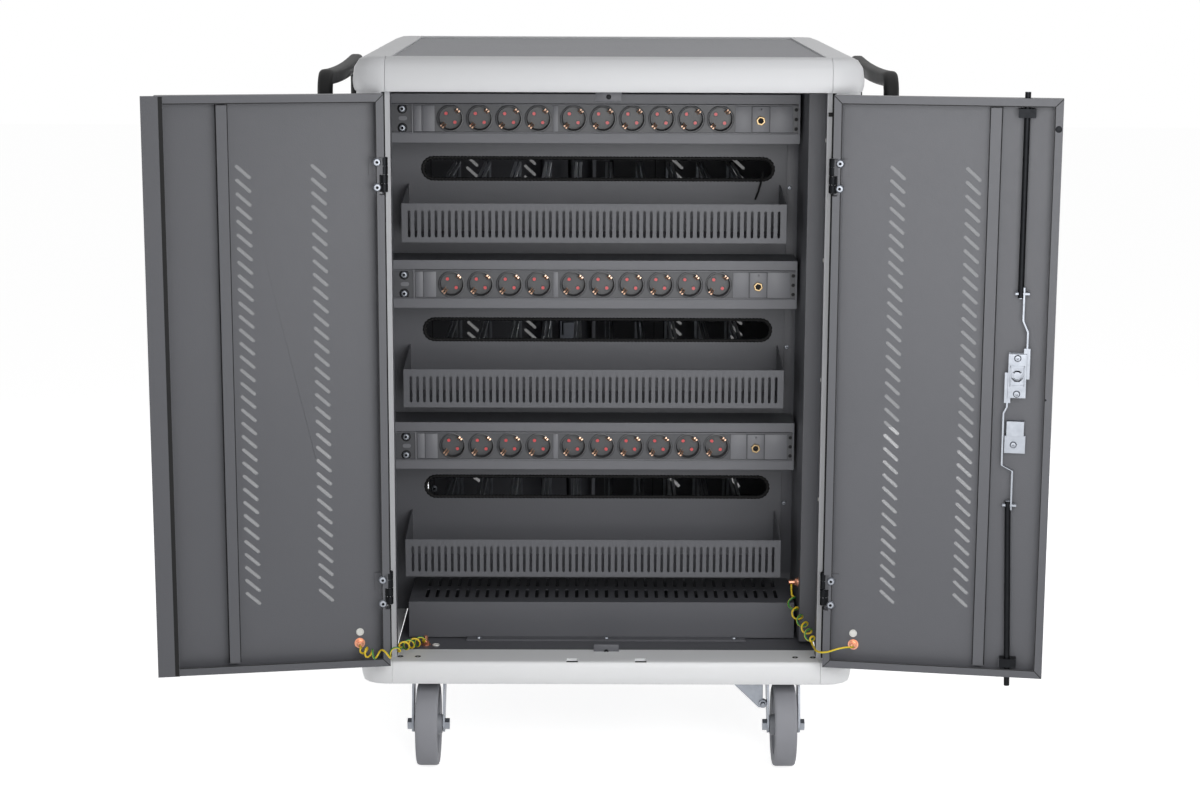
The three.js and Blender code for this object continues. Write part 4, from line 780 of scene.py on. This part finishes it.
def screw(mesh, place, way, radius, paint, dark):
    """A pan-head screw whose driver socket's floor and wall take a dark finish as painted shade."""
    rise = radius * 0.55
    profile = [(0, 0.1), (radius * 0.3, 0.1), (radius * 0.34, rise), (radius * 0.7, rise * 0.94),
               (radius * 0.95, rise * 0.5), (radius, 0.05), (radius * 0.9, -0.6), (0, -0.6)]
    turned(mesh, place, way, profile, sides=18, paint=[dark, dark] + [paint] * 5)


def nut(mesh, place, way, radius, height, stud, paint=0):
    """A hexagon nut with a chamfer, on a round washer, with the end of its stud."""
    turned(mesh, place, way, [(0, 0.02), (radius * 1.3, 0.02), (radius * 1.3, 1), (0, 1)], sides=24, paint=paint)
    turned(mesh, place, way, [(0, 1), (radius, 1), (radius, height), (radius * 0.86, height + 0.6), (0, height + 0.6)],
           sides=6, paint=paint)
    turned(mesh, place, way, [(0, height), (3.8, height), (3.8, stud - 0.6), (3.2, stud), (0, stud)], sides=16, paint=paint)


for tier in TIERS:
    z = STRIP_LEVELS[tier]
    mesh = bmesh.new()
    for left, right in BLANKS:
        plate(mesh, at(left, STRIP_FACE_Y - 0.9, z - STRIP_HALF + 2.6), at(right, STRIP_FACE_Y, z + STRIP_HALF - 2.6),
              0.4 * MM)
    plate(mesh, at(FUSE_MODULE[0], STRIP_FACE_Y - 1.4, z - STRIP_HALF + 2.6),
          at(FUSE_MODULE[1], STRIP_FACE_Y, z + STRIP_HALF - 2.6), 0.5 * MM, paint=1)
    turned(mesh, at(FUSE_X, STRIP_FACE_Y - 1.4, z - 2), FORWARD,
           [(4.6, 0.4), (4.6, 4), (5, 4.6), (6.6, 4.6), (7.4, 4), (7.4, 0), (4.6, 0)], sides=6, paint=2)
    # A dark disc inside the brass nut stands for its hole: painted shade.
    turned(mesh, at(FUSE_X, STRIP_FACE_Y - 1.4, z - 2), FORWARD, [(0, 0.3), (4.7, 0.3), (4.7, 0), (0, 0)], sides=16, paint=4)
    screw(mesh, at(FUSE_X + 0.8, STRIP_FACE_Y - 1.4, z + 15), FORWARD, 1.8, 0, 4)
    # Dark discs at the strip's right end stand for its screw holes: painted shade.
    for hole in (-EAR_SCREW_Z, 0, EAR_SCREW_Z):
        turned(mesh, at(END_HOLE_X, STRIP_FACE_Y, z + hole), FORWARD, [(0, 0.1), (2.6, 0.1), (2.8, 0.02)], sides=16, paint=4)
    slot_bar(mesh, at(EAR_X + 1, STRIP_FACE_Y - 0.4, z), RIGHT, FORWARD, 13 * MM, 6.5 * MM, 0.8 * MM)
    for edge in (-1, 1):
        rim = z + edge * (STRIP_HALF - 1)
        plate(mesh, at(-329, STRIP_FACE_Y - 1.2, rim - 1), at(288.5, STRIP_FACE_Y, rim + 1), 0.5 * MM, paint=1)
        ear = at(EAR_X, STRIP_FACE_Y, z + edge * EAR_SCREW_Z)
        turned(mesh, ear, FORWARD, [(0, 0.1), (7.4, 0.1), (7.6, 0.02)], sides=20, paint=4)
        screw(mesh, ear, FORWARD, 6, 3, 4)
    plate(mesh, at(EAR_EDGE_X - 1, STRIP_FACE_Y - 1.6, z - STRIP_HALF), at(EAR_EDGE_X + 1, STRIP_FACE_Y, z + STRIP_HALF),
          0.4 * MM)
    piece(mesh, tier + "_strip_fittings", "strip_plastic", blank_abs, strip_abs, brass, zinc, black_rubber_and_shade)
print("strip fittings made")

# %% [markdown]
# ## Two finishes on one solid
# Behind the partition the laptops stand between hoops of bright wire that are welded to a painted
# deck. The feet of the corner posts take the base frame's paler copy of the rail paint, which is
# painted light. Each is one solid, so a copy with a second finish on some of its faces stands for it.

# %% Plated hoops, and post feet in painted light
DECK_DROP = 208
BASE_TOP = 174


def two_toned(node, second, chosen):
    """A copy of a solid whose chosen faces have a second finish, which stands for it."""
    made = bpy.data.objects.new(node + "_two_toned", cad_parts[node].data.copy())
    made.data.materials.append(second)
    scene.collection.objects.link(made)
    for face in made.data.polygons:
        face.material_index = int(chosen(face.center.z))
    dress(made, pick(EDGE_MM, node, DEFAULT_EDGE_MM))
    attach(made, "chassis")
    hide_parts(node)


for tier in TIERS:
    deck = (STRIP_LEVELS[tier] - DECK_DROP) * MM
    two_toned(tier + "_laptop_shelf", zinc, lambda z: z > deck)
for node in [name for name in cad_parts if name.startswith("corner_post")]:
    two_toned(node, lit_rail_paint, lambda z: z < BASE_TOP * MM)
print("hoops plated and post feet coated")

# %% [markdown]
# ## Edge trim of the cable slots
# Cables pass through three long ovals, and a ribbed rubber edging keeps the sheet from cutting them.
# It is one section drawn round the oval. The ribs come from letting the section swell and shrink
# along the way, which is how the real trim is notched so that it bends round the ends.

# %% Ribbed edging
OVAL_X = (-289, 260)
OVAL_HEIGHT = 36
OVAL_DROP = 84
PARTITION_Y = 290
TRIM_WIDTH = 7
TRIM_PROUD = 3.2
RIB_MM = 5.5
RIB_POINTS = 4


def oval_path(z, inset):
    """Points round an oval, close enough to carry the ribs."""
    radius = OVAL_HEIGHT / 2 - inset
    left, right = OVAL_X[0] + OVAL_HEIGHT / 2, OVAL_X[1] - OVAL_HEIGHT / 2
    straight, bend = right - left, math.pi * radius
    total = 2 * (straight + bend)
    count = int(total / RIB_MM) * RIB_POINTS
    path = []
    for i in range(count):
        run = total * i / count
        if run < straight:
            x, high = left + run, radius
        elif run < straight + bend:
            turn = (run - straight) / radius
            x, high = right + radius * math.sin(turn), radius * math.cos(turn)
        elif run < 2 * straight + bend:
            x, high = right - (run - straight - bend), -radius
        else:
            turn = (run - 2 * straight - bend) / radius
            x, high = left - radius * math.sin(turn), -radius * math.cos(turn)
        path.append(at(x, PARTITION_Y + 0.75, z + high))
    return path


def rib_section(ring):
    """The edging's section, thicker on a rib than in the notch beside it."""
    swell = 1.0 if ring % RIB_POINTS < 2 else 0.78
    half, deep = TRIM_WIDTH / 2 * MM * swell, TRIM_PROUD * MM * swell
    return [(deep * math.cos(math.tau * i / 10), half * math.sin(math.tau * i / 10)) for i in range(10)]


for tier in TIERS:
    mesh = bmesh.new()
    drawn(mesh, oval_path(STRIP_LEVELS[tier] - OVAL_DROP, 1.4), rib_section, side=BACK, closed=True)
    piece(mesh, tier + "_slot_edging", "black_plastic", black_rubber_and_shade)
print("edging ribs", int(2 * (OVAL_X[1] - OVAL_X[0]) / RIB_MM))

# %% [markdown]
# ## Handles
# The push handles are bows of black nylon on screwed feet. The solid has the bow's outline with few
# facets, so a smooth bow is drawn along the same line with a rounded section and stands for it.

# %% Smooth bows
HANDLE_X = (408, 430)
HANDLE_Y = (110, 630)
HANDLE_TOP = 1046
HANDLE_FOOT = 948
HANDLE_THICK = 23
HANDLE_DIP = 5
HANDLE_BEND = 34
POST_SIDE_X = 364.3
BOW_ROUND = 7


def handle(name, node, hand):
    """One bow with its two feet and their screwed plates."""
    half = HANDLE_THICK / 2
    front, back = HANDLE_Y[0] + half, HANDLE_Y[1] - half
    top = HANDLE_TOP - half
    x = (HANDLE_X[0] + HANDLE_X[1]) / 2 * hand
    bend = HANDLE_BEND - half
    line = [(front, HANDLE_FOOT - half), (front, top - bend)]
    line += [(front + bend - bend * math.cos(t), top - bend + bend * math.sin(t))
             for t in [math.pi / 2 * i / 8 for i in range(1, 9)]]
    line += [(front + bend + (back - front - 2 * bend) * s, top - HANDLE_DIP * 4 * s * (1 - s))
             for s in [i / 16 for i in range(1, 16)]]
    line += [(back - bend + bend * math.sin(t), top - bend + bend * math.cos(t))
             for t in [math.pi / 2 * i / 8 for i in range(0, 9)]]
    line += [(back, HANDLE_FOOT - half)]
    mesh = bmesh.new()
    bow = rounded_section(HANDLE_THICK, HANDLE_X[1] - HANDLE_X[0], BOW_ROUND)
    drawn(mesh, [at(x, y, z) for y, z in line], bow, side=RIGHT * 1.0)
    for y in (front, back):
        arm = [at(hand * edge, y, HANDLE_FOOT - half) for edge in (HANDLE_X[1] - 1, HANDLE_X[0] + 4, 390, POST_SIDE_X + 3)]
        drawn(mesh, arm, rounded_section(HANDLE_THICK, HANDLE_THICK, BOW_ROUND), side=BACK)
        inner, outer = sorted((hand * POST_SIDE_X, hand * (POST_SIDE_X + 4)))
        plate(mesh, at(inner, y - half - 6, HANDLE_FOOT - HANDLE_THICK - 6), at(outer, y + half + 6, HANDLE_FOOT + 6), 1.2 * MM)
        for dy, dz in ((-1, -1), (1, 1), (-1, 1), (1, -1)):
            screw(mesh, at(hand * (POST_SIDE_X + 4), y + dy * 14, HANDLE_FOOT - half + dz * 14), RIGHT * hand, 2.4, 1, 0)
    made = piece(mesh, name, "black_plastic", handle_nylon, black_steel_and_shade)
    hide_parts(node)


handle("left_push_handle", "left_handle", -1)
handle("right_push_handle", "right_handle", 1)
print("handles drawn")

# %% [markdown]
# ## Wheels
# A caster wheel is a plastic hub with a rubber tyre moulded on. The solid wheel has few facets, so a
# turned one with a crowned tread, a groove where rubber meets hub, and a raised boss stands for it.

# %% Turned wheels
WHEEL_RADIUS = 62.5
TREAD_HALF = 16.8
HUB_HALF = 21
AXLE_RADIUS = 5.2
WHEEL_PROFILE = [
    (AXLE_RADIUS, HUB_HALF), (14, HUB_HALF), (15.5, HUB_HALF - 1.5), (16.5, 13), (36, 9.5), (41, 11),
    (43, 13), (44, 12.6), (45, 14.8), (52, 16.4), (58.6, TREAD_HALF), (60.8, 16), (62, 14.2), (WHEEL_RADIUS, 11),
    (WHEEL_RADIUS, 0),
]
HUB_RINGS = 7

for node in [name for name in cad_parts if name.startswith("wheel_")]:
    low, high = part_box(node)
    middle = (low + high) / 2
    middle.z = WHEEL_RADIUS * MM
    outline = WHEEL_PROFILE + [(radius, -x) for radius, x in WHEEL_PROFILE[-2::-1]]
    outline.append(outline[0])
    hub = [1 if k < HUB_RINGS or k >= len(outline) - 1 - HUB_RINGS else 0 for k in range(len(outline) - 1)]
    mesh = bmesh.new()
    turned(mesh, middle, RIGHT, outline, sides=56, paint=hub)
    bmesh.ops.remove_doubles(mesh, verts=mesh.verts, dist=0.00001)
    made = piece(mesh, node.replace("wheel", "tyre"), "grey_tyre", tyre_rubber, hub_plastic, body=node[6:] + "_wheel")
    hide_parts(node)
print("wheels turned")

# %% [markdown]
# ## Small hardware of the cabinet
# Screws and plates are what make sheet metal look assembled. The sill is held by dark countersunk
# screws, the foot strip by bright ones, and a small plate at the top and the bottom of the doorway
# stops the doors and takes their bolts. Studs for the earth wires carry copper nuts.

# %% Screws, stop plates and studs
SILL_Z = 174
LINTEL_Z = 1022
SILL_SCREWS = ((-310.6, 28.5), (-284.2, 28.5), (284.8, 28.5), (311.4, 28.5))
FOOT_SCREWS = (-197.5, 0.6, 198.7)
FOOT_SCREW_Y = 136
FOOT_Z = 171.5
STOP_HALF = 19
TOP_STOP = (26, 29, 1008, 1021.9)
BOTTOM_STOP = (56, 60, 168, 185)
FLOOR_STUD = (-278, 110, 168)
DUCT_STUD = (297, 145.5, 259.5)
PARTITION_SCREWS = ((284.5, 856.4), (284.5, 604.7), (284.5, 351.6))
POST_SCREW_Z = (952, 777, 599, 418)
POST_SCREW_Y = 33
FLANGE = (279.7, 299.3)
FLANGE_Y = 288.4
FLANGE_Z = (236, 1018)
FLOOR_DISC = (-262, 107)
HOOK = ((317, 326), (21, 23.4), (987, 993))
TIE = ((243, 287, 881), (240, 284, 868), (236, 285, 852), (231, 286.5, 838))
DOORWAY_X = 316
REBATE_X = 326.5
REBATE_Y = 24
SHADOW_LINE_X = 322.8
SHADE_SHEET = 0.5

mesh = bmesh.new()
for x, y in SILL_SCREWS:
    turned(mesh, at(x, y, SILL_Z), UP, [(0, -0.4), (1.4, -0.4), (1.6, 0.25), (4.4, 0.2), (4.6, 0), (0, -0.5)], sides=20)
for x, z in PARTITION_SCREWS:
    screw(mesh, at(x, FLANGE_Y, z), FORWARD, 3.4, 1, 0)
for x in FOOT_SCREWS:
    screw(mesh, at(x, FOOT_SCREW_Y, FOOT_Z), UP, 4.2, 1, 0)
for z in POST_SCREW_Z:
    turned(mesh, at(DOORWAY_X - SHADE_SHEET, POST_SCREW_Y, z), -RIGHT, [(0, 1.2), (2.4, 1), (3.2, 0.05)], sides=18, paint=2)
turned(mesh, at(*FLOOR_DISC, FLOOR_PANEL_Z), UP, [(0, 0.8), (3.6, 0.8), (4, 1.4), (5.2, 1.4), (5.6, 0.05)], sides=20, paint=2)
piece(mesh, "cabinet_screws", "zinc_steel", black_steel_and_shade, zinc, washer_nylon)

mesh = bmesh.new()
plate(mesh, at(FLANGE[0], FLANGE_Y, FLANGE_Z[0]), at(FLANGE[1], PARTITION_Y, FLANGE_Z[1]), 0.5 * MM)
piece(mesh, "partition_flange", "cabinet_paint", cabinet_paint)

mesh = bmesh.new()
plate(mesh, *[at(*corner) for corner in zip(*HOOK)], 0.8 * MM)
drawn(mesh, [at(*point) for point in TIE], rounded_section(1.6, 3.2, 0.5, steps=2))
piece(mesh, "hook_and_cable_tie", "black_plastic", black_rubber_and_shade)

mesh = bmesh.new()
for y0, y1, z0, z1 in (TOP_STOP, BOTTOM_STOP):
    plate(mesh, at(-STOP_HALF, y0, z0), at(STOP_HALF, y1, z1), 0.8 * MM)
    screw(mesh, at(0, y0, z0 + 6), FORWARD, 3.6, 1, 1)
piece(mesh, "door_stop_plates", "cabinet_paint", cabinet_paint, black_steel_and_shade)

mesh = bmesh.new()
nut(mesh, at(*FLOOR_STUD), UP, 6, 5, 14.4)
nut(mesh, at(*DUCT_STUD), -RIGHT, 6, 5, 14.4)
piece(mesh, "earth_stud_nuts", "zinc_steel", copper)

# Painted shade in the doorway: thin sheets of dark cabinet paint on the posts' inner sides and rebates, a darker copy
# of the rail paint on the rebate face, and a black strip beside the door's edge where the gap lies in shadow.
mesh = bmesh.new()
for hand in (-1, 1):
    for start, inward in ((0, 1), (CART_DEPTH, -1)):
        for xs, ys, paint in (((REBATE_X - SHADE_SHEET, REBATE_X), (6.3, REBATE_Y), 0),
                              ((DOORWAY_X - SHADE_SHEET, SHADOW_LINE_X), (REBATE_Y - SHADE_SHEET, REBATE_Y), 1),
                              ((SHADOW_LINE_X, REBATE_X), (REBATE_Y - SHADE_SHEET, REBATE_Y), 2),
                              ((DOORWAY_X - SHADE_SHEET, DOORWAY_X), (REBATE_Y, 49), 0)):
            x0, x1 = sorted(hand * x for x in xs)
            y0, y1 = sorted(start + inward * y for y in ys)
            plate(mesh, at(x0, y0, SILL_Z + 0.6), at(x1, y1, LINTEL_Z - 0.6), 0, paint=paint)
piece(mesh, "doorway_painted_shade", "cabinet_paint", cabinet_paint, shaded_rail_paint, black_rubber_and_shade)
print("cabinet hardware made")

# %% [markdown]
# ## Small hardware of the doors
# Every hinge plate is held by bright screws through the door, each front door has an earth stud with
# a copper nut and a white washer above it, and the lock has rivets, a raised rim round its lever and a
# bolt on the bracket of its cylinder. These pieces ride on their own leaf, so they swing with it.

# %% Hinges, studs and lock parts
HINGE_LEVELS = (290, 904)
BARREL_RADIUS = 6.3
BARREL_HALF = 25
HINGE_SCREWS = (272, 308, 888, 924)
HINGE_SCREW_U = 11.5
LIP_DEPTH = 23
STUD_U = 45
STUD_Z = 208
SKIN_INSIDE = 4.5
LOCK_U = 271
LOCK_Z = 624
COVER_FACE = 20
COVER_BOLT_RISE = 26
CAM_RIM = ((-10.5, 10.5, 13, 15), (-10.5, 10.5, -15, -13), (-10.5, -8.8, -15, 15), (8.8, 10.5, -15, 15))
BRACKET_Z = 522
BRACKET_FACE = 12.8
BUMPER = (316, 978)
LIP_HOLE = (312, 591)
ROD_DEPTH = 15.5
ROD_SLEEVE = 4.3
GUIDES = ((271.9, 196.5), (272, 999.5))
GUIDE_SIZE = (24.6, 12.6)
GUIDE_DEPTHS = (4.6, 22.7)
LEAF_EDGES = (1, 322)
LEAF_ENDS = (175.5, 1020.5)
LIP_LINE = 11.3
LINE_WIDTH = 1.2
LINE_PROUD = 0.3
STIFFENER_SIDES = (220.6, 237.4)
STRIP_DEPTH = 24.8
SHADE_BAND_U = 313.5
SHADE_BAND_WIDTH = 6


def barrel(mesh, place, start, end, paint=0):
    """Half of a hinge barrel with a groove round its middle."""
    middle = (start + end) / 2
    radius = BARREL_RADIUS
    turned(mesh, place, UP, [
        (0, start), (radius - 0.5, start), (radius, start + 0.5), (radius, middle - 0.6), (radius - 0.4, middle - 0.3),
        (radius - 0.4, middle + 0.3), (radius, middle + 0.6), (radius, end - 0.5), (radius - 0.5, end), (0, end)],
        sides=20, paint=paint)


def joint_and_shade_line(mesh, leaf, start, end, width):
    """A dark line on a leaf, used for the mitre joints where two edges of sheet meet and as painted shade along lips,
    stiffeners and the overlap strip.
    """
    drawn(mesh, [leaf.at(*start), leaf.at(*end)], rounded_section(width, LINE_PROUD, 0.1, steps=1),
          side=leaf.way(0, 1, 0))


def rod_sleeve(name, leaf, body, start, end):
    """The blackened stretch of a lock rod, from the link to the door's edge."""
    low, high = leaf.at(start[0], ROD_DEPTH, start[1]), leaf.at(end[0], ROD_DEPTH, end[1])
    mesh = bmesh.new()
    drawn(mesh, [low, high], round_section(ROD_SLEEVE * MM, 16))
    piece(mesh, name, "zinc_steel", black_steel_and_shade, body=body)


for node in LEAVES:
    leaf = Leaf(node)
    inward = leaf.way(0, 1, 0)
    face = node.split("_")[0]
    mesh = bmesh.new()
    for level in HINGE_LEVELS:
        barrel(mesh, leaf.at(0, 0, level), 0.3, BARREL_HALF, paint=3)
    for z in HINGE_SCREWS:
        screw(mesh, leaf.at(HINGE_SCREW_U, LIP_DEPTH, z), inward, 6.2, 0, 3)
    nut(mesh, leaf.at(STUD_U, SKIN_INSIDE, STUD_Z), inward, 6, 4, 8.4, paint=1)
    turned(mesh, leaf.at(STUD_U - 0.5, SKIN_INSIDE, STUD_Z + 17), inward,
           [(0, 0.9), (3.6, 0.9), (4, 1.5), (5.4, 1.5), (5.8, 1), (5.8, 0.05)], sides=24, paint=2)
    # Painted shade: dark lines along the lips' inner edges and beside the stiffener, and a wide black band on the
    # overlap strip where it lies in shade. The short diagonal lines at the lip corners are the mitre joints.
    lines = bmesh.new()
    near, far = LEAF_EDGES[0] + LIP_LINE, LEAF_EDGES[1] - LIP_LINE
    low, high = LEAF_ENDS[0] + LIP_LINE, LEAF_ENDS[1] - LIP_LINE
    for z in (low, high):
        joint_and_shade_line(lines, leaf, (near, LIP_DEPTH, z), (far, LIP_DEPTH, z), LINE_WIDTH)
    for u in (near, far)[:1 if leaf.hand > 0 else 2]:
        joint_and_shade_line(lines, leaf, (u, LIP_DEPTH, low), (u, LIP_DEPTH, high), LINE_WIDTH)
    for u in STIFFENER_SIDES:
        joint_and_shade_line(lines, leaf, (u, SKIN_INSIDE, low), (u, SKIN_INSIDE, high), LINE_WIDTH)
    for edge, towards in ((LEAF_EDGES[0], 1), (LEAF_EDGES[1], -1))[:1 if leaf.hand > 0 else 2]:
        for end, up in ((LEAF_ENDS[0], 1), (LEAF_ENDS[1], -1)):
            joint_and_shade_line(lines, leaf, (edge + towards * 0.5, LIP_DEPTH, end + up * 0.5),
                 (edge + towards * LIP_LINE, LIP_DEPTH, end + up * LIP_LINE), LINE_WIDTH)
    if leaf.hand > 0:
        joint_and_shade_line(lines, leaf, (SHADE_BAND_U, STRIP_DEPTH, LEAF_ENDS[0] + 1), (SHADE_BAND_U, STRIP_DEPTH, LEAF_ENDS[1] - 1), SHADE_BAND_WIDTH)
    piece(lines, node + "_mitres_and_painted_shade", "black_plastic", black_rubber_and_shade, body=leaf.body)
    if leaf.hand < 0:
        for rise in (-COVER_BOLT_RISE, COVER_BOLT_RISE):
            screw(mesh, leaf.at(LOCK_U, COVER_FACE, LOCK_Z + rise), inward, 5.2, 0, 0)
        for u0, u1, z0, z1 in CAM_RIM:
            drawn(mesh, [leaf.at(LOCK_U + (u0 + u1) / 2, COVER_FACE + 0.6, LOCK_Z + z) for z in (z0, z1)],
                  rounded_section(1.6, u1 - u0, 0.3, steps=1), side=leaf.way(1, 0, 0))
        screw(mesh, leaf.at(LOCK_U - 2, BRACKET_FACE, BRACKET_Z), inward, 5, 0, 0)
        turned(mesh, leaf.at(BUMPER[0], LIP_DEPTH, BUMPER[1]), inward, [(0, 0.2), (4.5, 0.2), (4.8, 0.05)], sides=20, paint=3)
        # A dark disc in the lip stands for a small hole: painted shade.
        turned(mesh, leaf.at(LIP_HOLE[0], LIP_DEPTH, LIP_HOLE[1]), inward, [(0, 0.1), (1.7, 0.05)], sides=16, paint=3)
        guides = bmesh.new()
        for u, z in GUIDES:
            drawn(guides, [leaf.at(u, depth, z) for depth in GUIDE_DEPTHS],
                  rounded_section(GUIDE_SIZE[1], GUIDE_SIZE[0], 1, steps=2), side=leaf.way(1, 0, 0))
        piece(guides, node + "_rod_guides", "zinc_steel", black_steel_and_shade, body=leaf.body)
        rod_sleeve(face + "_upper_rod_sleeve", leaf, face + "_upper_rod_body", (272, 737), (272, 1029.2))
        rod_sleeve(face + "_lower_rod_sleeve", leaf, face + "_lower_rod_body", (272, 161.2), (264, 439))
    piece(mesh, node + "_hardware", "zinc_steel", zinc, copper, washer_nylon, black_steel_and_shade, body=leaf.body)

mesh = bmesh.new()
for x in (-HINGE_X, HINGE_X):
    for y in (HINGE_Y, CART_DEPTH - HINGE_Y):
        for level in HINGE_LEVELS:
            barrel(mesh, at(x, y, level), -BARREL_HALF, -0.3)
piece(mesh, "post_hinge_barrels", "zinc_steel", black_steel_and_shade)
print("door hardware made")

# %% [markdown]
# ## Studio
# A pale floor, a white world and five soft lamps make plain studio light: one in front, one above,
# and three low at the sides and the back. The picture has a pure white ground with a soft shadow
# under the casters. So the floor is white paint that adds a little light of its own for the camera,
# which lifts it to white and keeps the shadow.

# %% Floor, world and lamps
FLOOR_HALF = 12
FLOOR_OWN_LIGHT = 0.77
WORLD_FILL = 0.27

mesh = bmesh.new()
bmesh.ops.create_grid(mesh, x_segments=1, y_segments=1, size=FLOOR_HALF)
floor_paint, tree, place = start_finish("studio_floor_paint")
rays = add(tree, "ShaderNodeLightPath")
seen = add(tree, "ShaderNodeMath", {0: rays.outputs["Is Camera Ray"], 1: rays.outputs["Is Glossy Ray"]}, operation="MAXIMUM")
through = add(tree, "ShaderNodeMath", {0: seen.outputs[0], 1: rays.outputs["Is Transmission Ray"]}, operation="MAXIMUM")
own = add(tree, "ShaderNodeMath", {0: through.outputs[0], 1: FLOOR_OWN_LIGHT}, operation="MULTIPLY")
matt = add(tree, "ShaderNodeBsdfDiffuse", {"Color": linear("#E7E7E7")})
glow = add(tree, "ShaderNodeEmission", {"Color": linear("#FFFFFF"), "Strength": own.outputs[0]})
both = add(tree, "ShaderNodeAddShader", {0: matt.outputs[0], 1: glow.outputs[0]})
add(tree, "ShaderNodeOutputMaterial", {"Surface": both.outputs[0]})
floor = bpy.data.objects.new("studio_floor", settle(mesh, "studio_floor", [floor_paint]))
scene.collection.objects.link(floor)

world = bpy.data.worlds.new("studio")
scene.world = world
world.use_nodes = True
tree = world.node_tree
tree.nodes.clear()
rays = add(tree, "ShaderNodeLightPath")
seen = add(tree, "ShaderNodeMath", {0: rays.outputs["Is Camera Ray"], 1: rays.outputs["Is Glossy Ray"]}, operation="MAXIMUM")
through = add(tree, "ShaderNodeMath", {0: seen.outputs[0], 1: rays.outputs["Is Transmission Ray"]}, operation="MAXIMUM")
level = add(tree, "ShaderNodeMapRange", {"Value": through.outputs[0], "To Min": WORLD_FILL, "To Max": 1.0})
sky = add(tree, "ShaderNodeBackground", {"Color": linear("#FFFFFF"), "Strength": level.outputs[0]})
add(tree, "ShaderNodeOutputWorld", {"Surface": sky.outputs[0]})


def lamp(name, place, target, size, power):
    """A large square softbox aimed at a point of the cart."""
    data = bpy.data.lights.new(name, "AREA")
    data.size = size
    data.energy = power
    made = bpy.data.objects.new(name, data)
    scene.collection.objects.link(made)
    made.location = at(*place)
    made.rotation_euler = (at(*target) - at(*place)).to_track_quat("-Z", "Y").to_euler()
    return made


lamp("front_softbox", (380, -1350, 960), (0, 100, 800), 1.2, 16.5)
lamp("top_softbox", (700, 200, 2300), (0, 350, 1000), 1.4, 4)
lamp("left_softbox", (-2200, 500, 520), (-370, 300, 560), 1.0, 10)
lamp("right_softbox", (2200, 500, 520), (370, 300, 560), 1.0, 10)
lamp("rear_softbox", (300, 2700, 520), (0, 750, 560), 1.0, 20)
print("studio lit")
